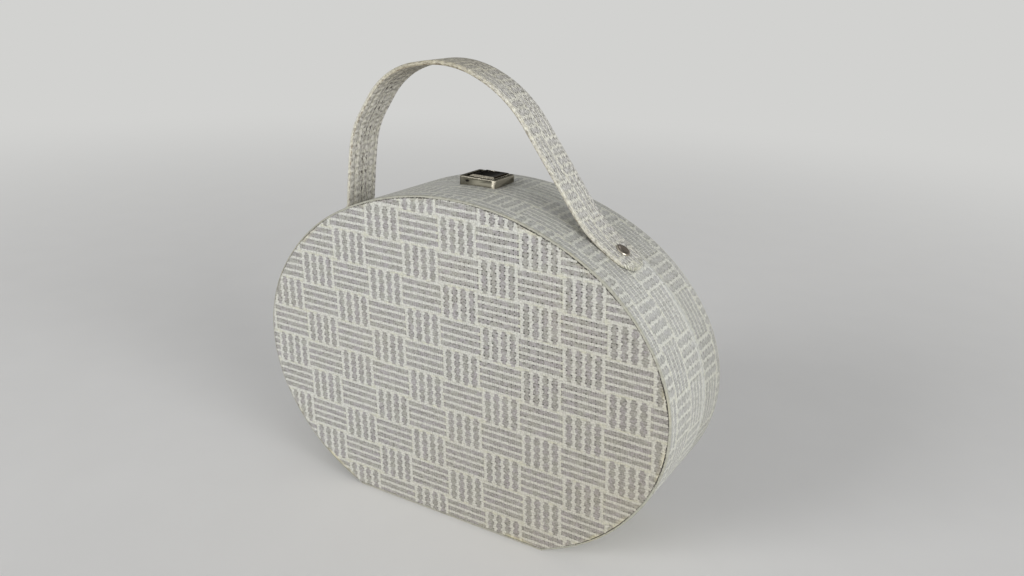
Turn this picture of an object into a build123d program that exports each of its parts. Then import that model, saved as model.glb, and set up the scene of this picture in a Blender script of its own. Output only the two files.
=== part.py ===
"""Oval cardboard case with a woven-pattern covering, a riveted strap handle and a small lock on top.

Sizes are in millimetres. +X runs along the oval face, +Y from the front panel to the lid, +Z is up.
The origin is on the surface that the case stands on, under the middle of its width and its depth.
"""
import math
import os

from build123d import *

# Case outline: an oval of tangent arcs, cut flat at foot_cut above its lowest point.
# Angles are those of the outward normal.
case_width = 286.0
oval_height = 221.0
foot_cut = 13.5
end_arc_angle = 30.0
crown_arc_angle = 62.0
case_depth = 81.0
body_depth = 52.0

# Sheets
board = 2.0
cover = 0.45
lining = 0.25
hinge_cloth = 0.5

# Edges and seams
seam_gap = 0.2
edge_chamfer = 0.5
turn_in = 6.5
face_margin = 1.4
cloth_margin = 1.2

# Collar that the lid closes over
collar_start = 7.4
collar_reach = 7.0
collar_wall = 1.2
collar_fit = 0.3
collar_foot = 16.0

# Strap handle
hardware_x = -5.1
strap_width = 26.0
strap_thickness = 2.7
strap_edge = 0.6
strap_wrap = 0.45
strap_slit = 0.5
strap_setback = 37.0
rivet_span = 191.8
strap_rise = 74.7
strap_tip = 14.0
strap_lift_left = 9.2
strap_lift_right = 20.1
# Corners of the strap's loop, from its left foot over the top: share of the half span, share of the rise
loop_corners = [(-0.913, 0.039), (-0.880, 0.350), (-0.622, 0.867), (-0.125, 0.992), (0.276, 0.767)]

# Strap rivets, with a dished head and a clinched end over a washer
rivet_head = 9.0
rivet_head_height = 1.1
rivet_rim = 1.3
rivet_dish = 4.4
rivet_dish_height = 0.3
rivet_shank = 4.0
rivet_clinch = 6.8
rivet_clinch_height = 0.8
rivet_fit = 0.05
rivet_clear = 0.3
washer_diameter = 12.0
washer_thickness = 0.8

# Lock case, stamped from one sheet
lock_width = 25.5
lock_length = 22.8
lock_height = 5.05
lock_reach = 7.9
lock_sheet = 0.7
lock_corner = 1.2
lock_edge = 0.5
lock_rim = 1.8
lock_lid_gap = 0.5
lock_lid_reach = 3.5
side_slot_width = 2.4
side_slot_height = 1.3
side_slot_rise = 2.4
side_slot_offset = 6.9

# Lock base plate and the ears that carry the slide
base_height = 0.9
base_side_fit = 0.4
base_front_fit = 0.1
base_seam_fit = 0.2
ear_width = 4.0
ear_sheet = 0.6
ear_offset = 5.0
narrow_ear = 1.5

# Slide, with its thumb plate, its flange and its lug
slide_travel = 4.0
slide_fit = 0.15
slide_end_fit = 0.25
flange_sheet = 0.6
thumb_width = 17.4
thumb_height = 6.1
thumb_bevel = 1.3
thumb_bevel_depth = 0.8
thumb_dish = 0.35
thumb_land = 0.8
lug_width = 2.0
lug_length = 2.6
lug_gap = 1.3
lug_play = 1.5
lug_fit = 0.1

# Leaf spring with the barb that holds the keeper
leaf_offset = 1.0
leaf_sheet = 0.4
leaf_height = 2.1
leaf_foot_width = 3.0
leaf_foot_length = 2.2
leaf_setback = 0.9
leaf_end_fit = 1.0
barb_setback = 3.4
barb_height = 1.3
barb_land = 0.4
barb_tail = 0.6

# Keeper on the lid
keeper_height = 0.8
keeper_side_fit = 1.2
keeper_end_fit = 0.8
keeper_seam_fit = 0.4
keeper_step = 1.6
tongue_sheet = 0.8
tongue_width = 6.0
tongue_gap = 0.2
tongue_side_fit = 0.4
tongue_lead = 1.5
notch_fit = 0.2
slot_clear = 0.6

# Small rivets, and the curved plates that they close over inside
small_shank = 2.2
small_head = 3.6
small_head_height = 0.7
small_clinch_height = 1.0
small_rivet_pitch = 16.0
lock_rivet_setback = 3.3
backing_plate = 0.8
backing_width = 5.2
backing_margin = 3.5
backing_clear = 0.5

half_width = case_width / 2
half_height = oval_height / 2
centre_height = half_height - foot_cut
front = -case_depth / 2
back = case_depth / 2
seam = front + body_depth
body_mouth = seam - seam_gap / 2
lid_mouth = seam + seam_gap / 2
wall = cover + board
big = 4 * (case_width + oval_height)

# Radii of the oval's arcs: the shoulder's is an ellipse's at 45 degrees, and the others then reach its axes
low = math.radians(end_arc_angle)
high = math.radians(crown_arc_angle)
shoulder_radius = (half_width * half_height) ** 2 / ((half_width**2 + half_height**2) / 2) ** 1.5
width_left = half_width - shoulder_radius * (math.cos(low) - math.cos(high))
height_left = half_height - shoulder_radius * (math.sin(high) - math.sin(low))
divisor = (1 - math.cos(low)) * (1 - math.sin(high)) - math.cos(high) * math.sin(low)
end_radius = (width_left * (1 - math.sin(high)) - height_left * math.cos(high)) / divisor
crown_radius = (height_left * (1 - math.cos(low)) - width_left * math.sin(low)) / divisor

# Centres of the upper right quarter's arcs, from the oval's centre
end_centre = (half_width - end_radius, 0.0)
shoulder_shift = end_radius - shoulder_radius
shoulder_centre = (end_centre[0] + shoulder_shift * math.cos(low), shoulder_shift * math.sin(low))
crown_centre = (0.0, half_height - crown_radius)
quarter = [
    (end_centre, end_radius, 0.0, end_arc_angle),
    (shoulder_centre, shoulder_radius, end_arc_angle, crown_arc_angle),
    (crown_centre, crown_radius, crown_arc_angle, 90.0),
]


def oval(inset):
    """Outline of the case in the XZ plane, moved inwards by inset."""
    arcs = Curve()
    for centre, radius, start, stop in quarter:
        arcs += CenterArc(centre, radius - inset, start, stop - start)
    upper = arcs + mirror(arcs, about=Plane.YZ)
    whole = make_face(upper + mirror(upper, about=Plane.XZ))
    above = Pos(0, hinge_cloth + inset + big / 2) * Rectangle(big, big)
    return (Pos(0, centre_height) * whole) & above


def slab(outline, y_one, y_two):
    """Solid of an XZ outline between two values of Y."""
    far = max(y_one, y_two)
    return extrude(Plane.XZ.offset(-far) * outline, amount=abs(y_two - y_one))


def block(x_low, x_high, y_low, y_high, z_low, z_high):
    """Box between two corners."""
    size = (x_high - x_low, y_high - y_low, z_high - z_low)
    middle = ((x_low + x_high) / 2, (y_low + y_high) / 2, (z_low + z_high) / 2)
    return Pos(*middle) * Box(*size)


def band_arc(x):
    """Centre and radius of the arc that makes the band's upper side at x, for x of either sign."""
    for centre, radius, start, _ in reversed(quarter):
        if abs(x) <= centre[0] + radius * math.cos(math.radians(start)):
            break
    return centre, radius


def band_height(x, inset=0.0):
    """Height of the band's upper surface, moved inwards by inset, at x."""
    centre, radius = band_arc(x)
    return centre_height + centre[1] + math.sqrt((radius - inset) ** 2 - (abs(x) - centre[0]) ** 2)


def band_plane(x, y):
    """Plane that touches the band from outside at x, its own X along the band and its Z outwards."""
    centre, radius = band_arc(x)
    lean = math.copysign((abs(x) - centre[0]) / radius, x)
    normal = Vector(lean, 0, math.sqrt(1 - lean**2))
    return Plane(origin=(x, y, band_height(x)), x_dir=(normal.Z, 0, -normal.X), z_dir=normal)


def band_sag(x, reach):
    """Depth that the band falls away from its touching plane, reach away from x."""
    centre, radius = band_arc(x)
    return reach**2 / (2 * radius)


def half_shell(face, mouth, lining_end):
    """Boards, covers and linings of one half, as a dictionary of solids."""
    way = 1 if mouth > face else -1
    bed = face + way * cover
    fold = bed + way * cover
    hem = mouth - way * cover
    inner_face = bed + way * board
    skin = slab(oval(0), bed, mouth)
    outer_face = skin.faces().filter_by(Axis.Y).sort_by(lambda f: abs(f.center().Y - bed))[0]
    skin = chamfer(outer_face.edges(), edge_chamfer)
    skin -= slab(oval(turn_in), bed, fold)
    skin -= slab(oval(cover), fold, hem)
    skin -= slab(oval(wall), hem, mouth)
    panel = slab(oval(wall), bed, inner_face) - slab(oval(wall) - oval(turn_in), bed, fold)
    return {
        "panel_cover": slab(oval(face_margin), face, bed),
        "panel_board": panel,
        "panel_lining": slab(oval(wall), inner_face, inner_face + way * lining),
        "band_cover": skin,
        "band_board": slab(oval(cover) - oval(wall), fold, hem),
        "band_lining": slab(oval(wall) - oval(wall + lining), inner_face + way * lining, lining_end),
    }


# Front and lid halves
body = half_shell(front, body_mouth, body_mouth - collar_start)
lid = half_shell(back, lid_mouth, lid_mouth)

# Collar, glued inside the body's mouth; its lip is thinner where the lid passes over it
lip_outer = wall + lining + collar_fit
collar_inner = lip_outer + collar_wall
lip_end = lid_mouth + collar_reach
collar = slab(oval(wall) - oval(collar_inner), body_mouth - collar_start, body_mouth)
collar += slab(oval(lip_outer) - oval(collar_inner), body_mouth, lip_end)
collar -= block(-big, big, front, back, -big, collar_foot)

# Cloth hinge across the flat foot, in two leaves that meet at the seam
foot_edge = oval(0).edges().sort_by(Axis.Y)[0]
foot_half = foot_edge.length / 2
body_cloth = block(-foot_half, foot_half, front + cloth_margin, seam, 0, hinge_cloth)
lid_cloth = block(-foot_half, foot_half, seam, back - cloth_margin, 0, hinge_cloth)

# Strap handle: one wrapped strip, flat on the band under each rivet and bent up into a loop
strap_y = front + strap_setback
half_span = rivet_span / 2
left_plane = band_plane(hardware_x - half_span, strap_y)
right_plane = band_plane(hardware_x + half_span, strap_y)
strap_feet = ((left_plane, -1), (right_plane, 1))
crown_base = centre_height + half_height
middle_line = strap_thickness / 2
route = [left_plane.from_local_coords((-strap_tip, 0, middle_line))]
route.append(left_plane.from_local_coords((strap_lift_left, 0, middle_line)))
for share, rise in loop_corners:
    route.append(Vector(hardware_x + share * half_span, strap_y, crown_base + rise * strap_rise))
route.append(right_plane.from_local_coords((-strap_lift_right, 0, middle_line)))
route.append(right_plane.from_local_coords((strap_tip, 0, middle_line)))


def bend_radii(points):
    """Radius of each bend: as large as the two runs beside it allow, clear of the rivets' heads."""
    runs = [(after - before).length for before, after in zip(points, points[1:])]
    runs[0] = 2 * (strap_lift_left - rivet_head / 2 - rivet_clear)
    runs[-1] = 2 * (strap_lift_right - rivet_head / 2 - rivet_clear)
    radii = []
    for index in range(1, len(points) - 1):
        before, here, after = points[index - 1 : index + 2]
        turn = math.radians((here - before).get_angle(after - here))
        radii.append(0.48 * min(runs[index - 1], runs[index]) / math.tan(turn / 2))
    return radii


radii = bend_radii(route)
strap_path = FilletPolyline(*route, radius=radii)


def along_strap(section, lift=0.0):
    """Strip of the given section along the strap; lift moves it towards the strap's inner side."""
    start = Plane(origin=strap_path @ 0, x_dir=(0, -1, 0), z_dir=strap_path % 0)
    return sweep(start * Pos(0, lift) * section, path=strap_path)


def round_tips(strip, radius):
    """Strip with each riveted end cut to a half circle."""
    for plane, way in strap_feet:
        centre = way * (strap_tip - strap_width / 2)
        beyond = Pos(centre + way * strap_width, 0) * Rectangle(2 * strap_width, 2 * strap_width)
        beyond -= Pos(centre, 0) * Circle(radius)
        strip -= extrude(plane * beyond, amount=2 * strap_thickness, both=True)
    return strip


def drill(plane, radius):
    """Cylinder along the plane's normal, through the strap and the wall."""
    return plane.location * Cylinder(radius, 8 * strap_thickness)


wrap_section = chamfer(Rectangle(strap_width, strap_thickness).vertices(), strap_edge)
wrapped = round_tips(along_strap(wrap_section), strap_width / 2)
core_width = strap_width - 2 * strap_wrap
core_thickness = strap_thickness - 2 * strap_wrap
core_section = Rectangle(core_width, core_thickness)
strap_core = round_tips(along_strap(core_section), core_width / 2)

# The cover's two edges meet along the strap's inner face, up to the part that lies under each rivet
slit = along_strap(Rectangle(strap_slit, 2 * strap_wrap), strap_thickness / 2)
for plane, way in strap_feet:
    under_head = Box(4 * rivet_head, strap_width, 4 * strap_thickness)
    slit -= plane.location * Pos(way * rivet_head, 0, 0) * under_head
strap_cover = wrapped - strap_core - slit


def strap_rivet(plane, sag):
    """Rivet through strap and wall, its head dished and its end closed over a washer inside."""
    top = strap_thickness
    crest = top + rivet_head_height
    hollow = top + rivet_dish_height
    inside = -(wall + lining + sag + washer_thickness)
    end = inside - rivet_clinch_height
    outer = rivet_head / 2
    crown = outer - rivet_rim / 2
    shank = rivet_shank / 2
    head_points = [(0, hollow), (rivet_dish / 2, hollow), (outer - rivet_rim, crest), (crown, crest)]
    side_points = [(outer, top + rivet_head_height / 2), (outer, top), (shank, top), (shank, inside)]
    end_points = [(rivet_clinch / 2, inside), (rivet_clinch / 2 - rivet_clinch_height / 2, end), (0, end)]
    outline = Polyline(*head_points, *side_points, *end_points, close=True)
    return plane.location * revolve(make_face(Plane.XZ * outline), axis=Axis.Z)


def strap_washer(plane, sag):
    """Flat washer against the lining, round the rivet."""
    middle = -(wall + lining + sag + washer_thickness / 2)
    ring = Cylinder(washer_diameter / 2, washer_thickness)
    ring -= Cylinder(rivet_shank / 2 + rivet_fit, washer_thickness)
    return plane.location * Pos(0, 0, middle) * ring


strap_rivets = []
strap_washers = []
for plane, _ in strap_feet:
    washer_sag = band_sag(plane.origin.X, washer_diameter / 2)
    strap_rivets.append(strap_rivet(plane, washer_sag))
    strap_washers.append(strap_washer(plane, washer_sag))
    hole = drill(plane, rivet_shank / 2 + rivet_fit)
    strap_core -= hole
    strap_cover -= hole
    for name in ("band_cover", "band_board", "band_lining"):
        body[name] -= hole

# Lock's main levels and lines, measured from the band's surface at the lock's middle
floor = band_height(hardware_x)
under_floor = floor - band_sag(0, lock_width)
lock_back = seam + lock_reach
lock_front = lock_back - lock_length
lock_left = hardware_x - lock_width / 2
lock_right = hardware_x + lock_width / 2
lock_top = floor + lock_height
inner_top = lock_top - lock_sheet
inner_left = lock_left + lock_sheet
inner_right = lock_right - lock_sheet
inner_front = lock_front + lock_sheet
inner_back = lock_back - lock_sheet
window_left = lock_left + lock_rim
window_right = lock_right - lock_rim
window_front = lock_front + lock_rim
window_back = lock_back - lock_rim
base_top = floor + base_height
base_front = inner_front + base_front_fit
base_back = body_mouth - base_seam_fit
tongue_low = base_top + tongue_gap
tongue_top = tongue_low + tongue_sheet
keeper_top = floor + keeper_height
leaf_left = hardware_x - leaf_offset - leaf_sheet / 2
leaf_right = leaf_left + leaf_sheet
tongue_left = leaf_right + tongue_side_fit
tongue_right = tongue_left + tongue_width
barb_face = body_mouth - barb_setback
leaf_end = base_back - leaf_end_fit
flange_top = inner_top - slide_fit / 2
flange_low = flange_top - flange_sheet
case_solid = slab(oval(0), front, back)
over_lid = slab(oval(-lock_lid_gap), body_mouth - lock_lid_reach, back)

# Stamped lock case: walls down to the band in front of the seam, and clear of the lid behind it
lock_case = block(lock_left, lock_right, lock_front, lock_back, under_floor, lock_top)
lock_case = fillet(lock_case.edges().filter_by(Axis.Z), lock_corner)
lock_case = chamfer(lock_case.faces().sort_by(Axis.Z)[-1].edges(), lock_edge)
lock_case -= block(inner_left, inner_right, inner_front, inner_back, 0, inner_top)
lock_case -= block(window_left, window_right, window_front, window_back, 0, lock_top)
lock_case -= block(inner_left, inner_right, inner_back, lock_back, 0, tongue_top + slot_clear)
lock_case -= case_solid
lock_case -= over_lid
side_slot = extrude(SlotOverall(side_slot_width, side_slot_height), amount=lock_rim, both=True)
side_slot_place = Pos(hardware_x - side_slot_offset, lock_front, floor + side_slot_rise)
lock_case -= side_slot_place * Rot(90, 0, 0) * side_slot

# Base plate inside the case, seated on the band, with four ears that carry the slide
base_left = inner_left + base_side_fit
base_right = inner_right - base_side_fit
lock_base = block(base_left, base_right, base_front, base_back, under_floor, base_top) - case_solid
left_ear = hardware_x - ear_offset - ear_width / 2
right_ear = hardware_x + ear_offset - ear_width / 2
back_ear = base_back - ear_sheet
ears = [
    (left_ear, ear_width, base_front),
    (right_ear, ear_width, base_front),
    (left_ear, ear_width, back_ear),
    (tongue_right + slot_clear, narrow_ear, back_ear),
]
ear_low = base_top - base_height / 2
ear_top = flange_low - slide_fit / 2
for ear_left, width, ear_front in ears:
    lock_base += block(ear_left, ear_left + width, ear_front, ear_front + ear_sheet, ear_low, ear_top)

# Slide: a bevelled and dished thumb plate, a flange under the case's rim and a lug that moves the spring
thumb_right = window_right - slide_fit
thumb_left = thumb_right - thumb_width
thumb_front = window_front + slide_fit
thumb_back = window_back - slide_fit
thumb_top = floor + thumb_height
thumb = block(thumb_left, thumb_right, thumb_front, thumb_back, flange_low, thumb_top)
thumb_face = thumb.faces().sort_by(Axis.Z)[-1]
thumb = chamfer(thumb_face.edges(), thumb_bevel, thumb_bevel_depth, reference=thumb_face)
dish_half = thumb_width / 2 - thumb_bevel - thumb_land
dish_length = thumb_back - thumb_front - 2 * (thumb_bevel + thumb_land)
dish_radius = (dish_half**2 + thumb_dish**2) / (2 * thumb_dish)
dish_x = (thumb_left + thumb_right) / 2
dish_y = (thumb_front + thumb_back) / 2
dish_z = thumb_top - thumb_dish + dish_radius
thumb -= Pos(dish_x, dish_y, dish_z) * Rot(90, 0, 0) * Cylinder(dish_radius, dish_length)
flange_left = inner_left + slide_travel + slide_fit
flange_right = inner_right - slide_fit
flange_front = inner_front + slide_end_fit
flange_back = inner_back - slide_end_fit
flange = block(flange_left, flange_right, flange_front, flange_back, flange_low, flange_top)
lug_left = leaf_right + lug_play
lug_front = barb_face - tongue_lead - lug_gap - lug_length
lug_low = tongue_low + lug_fit
lug = block(lug_left, lug_left + lug_width, lug_front, lug_front + lug_length, lug_low, flange_low)
lock_slide = thumb + flange + lug

# Leaf spring: a foot on the base plate, an upright leaf, and a barb behind the keeper's notch
leaf_front = inner_front + leaf_setback
leaf_top = tongue_low + leaf_height
leaf_outline = Polyline(
    (leaf_left, leaf_front),
    (leaf_right, leaf_front),
    (leaf_right, barb_face),
    (leaf_right + barb_height, barb_face),
    (leaf_right + barb_height, barb_face + barb_land),
    (leaf_right, leaf_end - barb_tail),
    (leaf_right, leaf_end),
    (leaf_left, leaf_end),
    close=True,
)
foot_back = leaf_front + leaf_foot_length
foot_left = leaf_left - leaf_foot_width
lock_spring = Pos(0, 0, tongue_low) * extrude(make_face(leaf_outline), amount=leaf_height)
lock_spring += block(foot_left, leaf_right, leaf_front, foot_back, base_top, base_top + leaf_sheet)
lock_spring += block(leaf_left, leaf_right, leaf_front, foot_back, base_top, leaf_top)

# Keeper on the lid: a plate seated on the band, stepped up to a notched tongue that enters the lock
keeper_half = lock_width / 2 - lock_sheet - keeper_side_fit
keeper_left = hardware_x - keeper_half
keeper_right = hardware_x + keeper_half
keeper_front = lid_mouth + keeper_seam_fit
keeper_back = inner_back - keeper_end_fit
step_back = keeper_front + keeper_step
tongue_tip = barb_face - tongue_lead
keeper = block(keeper_left, keeper_right, keeper_front, keeper_back, under_floor, keeper_top)
keeper += block(tongue_left, tongue_right, keeper_front, step_back, under_floor, tongue_top)
keeper -= case_solid
keeper += block(tongue_left, tongue_right, tongue_tip, step_back, tongue_low, tongue_top)
notch_right = leaf_right + barb_height + notch_fit
notch_back = leaf_end + barb_tail
keeper -= block(leaf_right, notch_right, barb_face - notch_fit, notch_back, 0, lock_top)

# The collar's lip is cut away under the lock, clear of the keeper's rivets
collar -= block(lock_left, lock_right, body_mouth + keeper_seam_fit, back, centre_height, big)

# Small rivets for the lock's base plate and the keeper, closed over curved plates inside
inner_solid = slab(oval(wall + lining + backing_plate), front, back)
plate_ring = slab(oval(wall + lining), front, back) - inner_solid
rivet_rows = {
    "lock": (base_front + lock_rivet_setback, base_top),
    "keeper": ((step_back + keeper_back) / 2, keeper_top),
}
plate_half = small_rivet_pitch / 2 + backing_margin
plate_left = hardware_x - plate_half
plate_right = hardware_x + plate_half
small_rivets = {"lock": [], "keeper": []}
backing = {}
holes = []
for part_name, (row_y, seat) in rivet_rows.items():
    plate_low = row_y - backing_width / 2
    plate_high = row_y + backing_width / 2
    patch = block(plate_left, plate_right, plate_low, plate_high, centre_height, big)
    backing[part_name] = plate_ring & patch
    for way in (-1, 1):
        x = hardware_x + way * small_rivet_pitch / 2
        inside = band_height(x, wall + lining + backing_plate)
        end = inside - small_clinch_height
        middle = (seat + end) / 2
        head = Pos(x, row_y, seat + small_head_height / 2) * Cylinder(small_head / 2, small_head_height)
        shank = Pos(x, row_y, middle) * Cylinder(small_shank / 2, seat - end)
        clinch = Pos(x, row_y, inside) * Cylinder(small_head / 2, 2 * small_clinch_height)
        small_rivets[part_name].append(head + shank + (clinch & inner_solid))
        holes.append(Pos(x, row_y, middle) * Cylinder(small_shank / 2 + rivet_fit, 2 * (seat - end)))

# The collar is notched clear of the lock's backing plate where the two would meet
notch_end = rivet_rows["lock"][0] + backing_width / 2 + backing_clear
notch_left = plate_left - backing_clear
notch_right_end = plate_right + backing_clear
collar -= block(notch_left, notch_right_end, front, notch_end, centre_height, big)

for hole in holes:
    lock_base -= hole
    keeper -= hole
    backing["lock"] -= hole
    backing["keeper"] -= hole
    for name in ("band_cover", "band_board", "band_lining"):
        body[name] -= hole
        lid[name] -= hole

pieces = {}
for name, solid in body.items():
    pieces["body_" + name] = solid
for name, solid in lid.items():
    pieces["lid_" + name] = solid
pieces["body_collar"] = collar
pieces["body_hinge_cloth"] = body_cloth
pieces["lid_hinge_cloth"] = lid_cloth
pieces["strap_core"] = strap_core
pieces["strap_cover"] = strap_cover
pieces["strap_rivets"] = Compound(strap_rivets)
pieces["strap_washers"] = Compound(strap_washers)
pieces["lock_rivets"] = Compound(small_rivets["lock"])
pieces["keeper_rivets"] = Compound(small_rivets["keeper"])
pieces["lock_case"] = lock_case
pieces["lock_base"] = lock_base
pieces["lock_slide"] = lock_slide
pieces["lock_spring"] = lock_spring
pieces["lock_backing_plate"] = backing["lock"]
pieces["keeper"] = keeper
pieces["keeper_backing_plate"] = backing["keeper"]

os.makedirs("parts", exist_ok=True)
for name, solid in pieces.items():
    export_step(solid, f"parts/{name}.step")

print("oval radii, mm:", round(end_radius, 1), round(shoulder_radius, 1), round(crown_radius, 1))
print("strap bends, mm:", [round(r, 1) for r in radii], "length", round(strap_path.length, 1))
print("strap core volume", round(strap_core.volume), "section times length",
      round(core_section.area * strap_path.length))
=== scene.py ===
"""Looks of an oval cardboard case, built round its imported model.

Sizes are in millimetres where a name or a docstring says so, and in metres in every mesh.
+X runs along the oval face, +Y from the front panel to the lid, +Z is up.
"""
from __future__ import annotations

import logging
import math
from dataclasses import dataclass
from enum import Enum
from typing import Any, Iterable

import bmesh
import bpy
from mathutils import Matrix, Vector
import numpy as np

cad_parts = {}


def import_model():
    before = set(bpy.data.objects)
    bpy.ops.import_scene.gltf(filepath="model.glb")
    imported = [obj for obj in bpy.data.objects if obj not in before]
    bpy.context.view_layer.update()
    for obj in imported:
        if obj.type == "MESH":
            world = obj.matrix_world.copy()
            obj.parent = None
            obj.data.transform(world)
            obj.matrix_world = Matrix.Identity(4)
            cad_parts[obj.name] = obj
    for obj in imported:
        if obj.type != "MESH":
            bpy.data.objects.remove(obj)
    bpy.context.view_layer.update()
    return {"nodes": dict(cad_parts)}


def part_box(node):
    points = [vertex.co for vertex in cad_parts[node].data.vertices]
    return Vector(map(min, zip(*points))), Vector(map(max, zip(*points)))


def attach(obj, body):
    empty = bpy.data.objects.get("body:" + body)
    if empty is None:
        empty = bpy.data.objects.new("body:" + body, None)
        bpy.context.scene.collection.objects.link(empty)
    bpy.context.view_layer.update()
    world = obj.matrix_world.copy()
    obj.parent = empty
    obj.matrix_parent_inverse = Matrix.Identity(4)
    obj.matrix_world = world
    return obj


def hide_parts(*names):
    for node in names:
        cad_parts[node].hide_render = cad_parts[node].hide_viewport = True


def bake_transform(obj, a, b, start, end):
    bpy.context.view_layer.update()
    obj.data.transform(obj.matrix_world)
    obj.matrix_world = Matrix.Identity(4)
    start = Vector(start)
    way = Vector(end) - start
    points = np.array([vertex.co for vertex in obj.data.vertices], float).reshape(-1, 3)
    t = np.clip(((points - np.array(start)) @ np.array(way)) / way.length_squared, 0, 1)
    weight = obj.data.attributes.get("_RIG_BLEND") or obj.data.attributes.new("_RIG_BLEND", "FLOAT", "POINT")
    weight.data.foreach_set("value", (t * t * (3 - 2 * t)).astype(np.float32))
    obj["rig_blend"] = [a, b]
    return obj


Colour = tuple[float, float, float, float]
Place = tuple[float, float, float]
Corners = list[tuple[float, float]]
Nodes = dict[str, bpy.types.Object]

log = logging.getLogger("case")
MM = 0.001
# Distances that count as none: three in metres, and a hair in millimetres.
CUT_DISTANCE = 1e-7
FINE_MERGE = 1e-6
MERGE = 2e-6
HAIR = 1e-4
DEPTHWISE = Vector((0, 1, 0))


class Half(Enum):
    """The two halves of the case, by the name of the body that each belongs to."""

    BODY = "body"
    LID = "lid"


class Slot(Enum):
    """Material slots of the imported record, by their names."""

    COVER = "woven_cover"
    NICKEL = "nickel"


# Shader arithmetic


class Value:
    """A number that varies over a surface, with Python's arithmetic."""

    def __init__(self, net: Tree, socket: bpy.types.NodeSocket) -> None:
        """Wraps one output socket of a tree of nodes."""
        self.net = net
        self.socket = socket

    def maths(self, operation: str, *others: Any) -> Value:
        """Result of one Math node on this value and others."""
        return self.net.maths(operation, self, *others)

    def __add__(self, other: Any) -> Value:
        """Sum."""
        return self.maths("ADD", other)

    __radd__ = __add__

    def __sub__(self, other: Any) -> Value:
        """Difference."""
        return self.maths("SUBTRACT", other)

    def __rsub__(self, other: Any) -> Value:
        """Difference, from a plain number."""
        return self.net.maths("SUBTRACT", other, self)

    def __mul__(self, other: Any) -> Value:
        """Product."""
        return self.maths("MULTIPLY", other)

    __rmul__ = __mul__

    def __truediv__(self, other: Any) -> Value:
        """Quotient."""
        return self.maths("DIVIDE", other)

    def __rtruediv__(self, other: Any) -> Value:
        """Quotient, of a plain number."""
        return self.net.maths("DIVIDE", other, self)

    def __pow__(self, other: Any) -> Value:
        """Power."""
        return self.maths("POWER", other)

    def floor(self) -> Value:
        """Largest whole number below."""
        return self.maths("FLOOR")

    def part(self) -> Value:
        """Fraction above the largest whole number below."""
        return self.maths("FRACT")

    def cosine(self) -> Value:
        """Cosine of an angle in radians."""
        return self.maths("COSINE")

    def size(self) -> Value:
        """The value without its sign."""
        return self.maths("ABSOLUTE")

    def least(self, other: Any) -> Value:
        """Lower of the two values."""
        return self.maths("MINIMUM", other)

    def most(self, other: Any) -> Value:
        """Higher of the two values."""
        return self.maths("MAXIMUM", other)

    def within(self, low: float, high: float) -> Value:
        """The value held between two limits."""
        return self.most(low).least(high)

    def share(self) -> Value:
        """The value held between zero and one."""
        return self.within(0.0, 1.0)

    def rise(self, low: float, high: float) -> Value:
        """Smooth step over the value.

        Args:
            low: where the step is zero, which may be the larger of the two.
            high: where the step is one.
        Returns:
            The step, from zero to one.
        """
        settings = {"interpolation_type": "SMOOTHSTEP"}
        inputs = {"Value": self, "From Min": low, "From Max": high}
        return Value(self.net, self.net.node("ShaderNodeMapRange", settings, inputs).outputs["Result"])

    def ripple(self, pitch: float, start: float = 0.0) -> Value:
        """Wave between zero and one, with its crest at start and every pitch after it."""
        return ((self - start) * (2 * math.pi / pitch)).cosine() * 0.5 + 0.5

    def off_line(self, pitch: float, start: float) -> Value:
        """Distance to the nearest of many lines, at start and every pitch after it."""
        return (((self - start) / pitch + 0.5).part() - 0.5).size() * pitch

    def choose(self, first: Any, second: Any) -> Value:
        """The first number where this value is zero, and the second where it is one."""
        return (second - first) * self + first


class Tree:
    """The nodes of a material or of the world."""

    def __init__(self, tree: bpy.types.NodeTree) -> None:
        """Empties a tree of nodes."""
        self.tree = tree
        self.tree.nodes.clear()

    def node(self, kind: str, settings: dict[str, Any] | None = None,
             inputs: dict[Any, Any] | None = None) -> bpy.types.Node:
        """Makes one node.

        Args:
            kind: type of the node.
            settings: its properties, which are set first.
            inputs: numbers, colours, values or sockets for its inputs, by name or place.
        Returns:
            The node.
        """
        made = self.tree.nodes.new(kind)
        for key, setting in (settings or {}).items():
            setattr(made, key, setting)
        for key, given in (inputs or {}).items():
            self.feed(made.inputs[key], given)
        return made

    def feed(self, socket: bpy.types.NodeSocket, given: Any) -> None:
        """Sets one input, or links it where a value or a socket is given.

        Args:
            socket: the input.
            given: number, colour, value or socket.
        """
        if isinstance(given, Value):
            given = given.socket
        if isinstance(given, bpy.types.NodeSocket):
            self.tree.links.new(given, socket)
        else:
            socket.default_value = given

    def maths(self, operation: str, *terms: Any) -> Value:
        """Result of one Math node."""
        made = self.node("ShaderNodeMath", {"operation": operation}, dict(enumerate(terms)))
        return Value(self, made.outputs[0])

    def mix(self, share: Any, first: Any, second: Any, blend: str = "MIX") -> bpy.types.NodeSocket:
        """Colour that lies between two colours.

        Args:
            share: how much of the second colour is taken, from zero to one.
            first: colour or socket.
            second: colour or socket.
            blend: the way that the second colour is laid on the first.
        Returns:
            The socket of the mixed colour.
        """
        settings = {"data_type": "RGBA", "blend_type": blend}
        inputs = {0: share, 6: first, 7: second}
        return self.node("ShaderNodeMix", settings, inputs).outputs[2]

    def plainly_seen(self) -> Value:
        """Finds the rays that show the plain background.

        Returns:
            One for a ray that is straight, mirrored or through glass, and zero for the rest.
        """
        ray = self.node("ShaderNodeLightPath").outputs
        kinds = ("Is Camera Ray", "Is Glossy Ray", "Is Transmission Ray")
        straight, mirrored, through_glass = (Value(self, ray[kind]) for kind in kinds)
        return straight.most(mirrored).most(through_glass)


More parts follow.
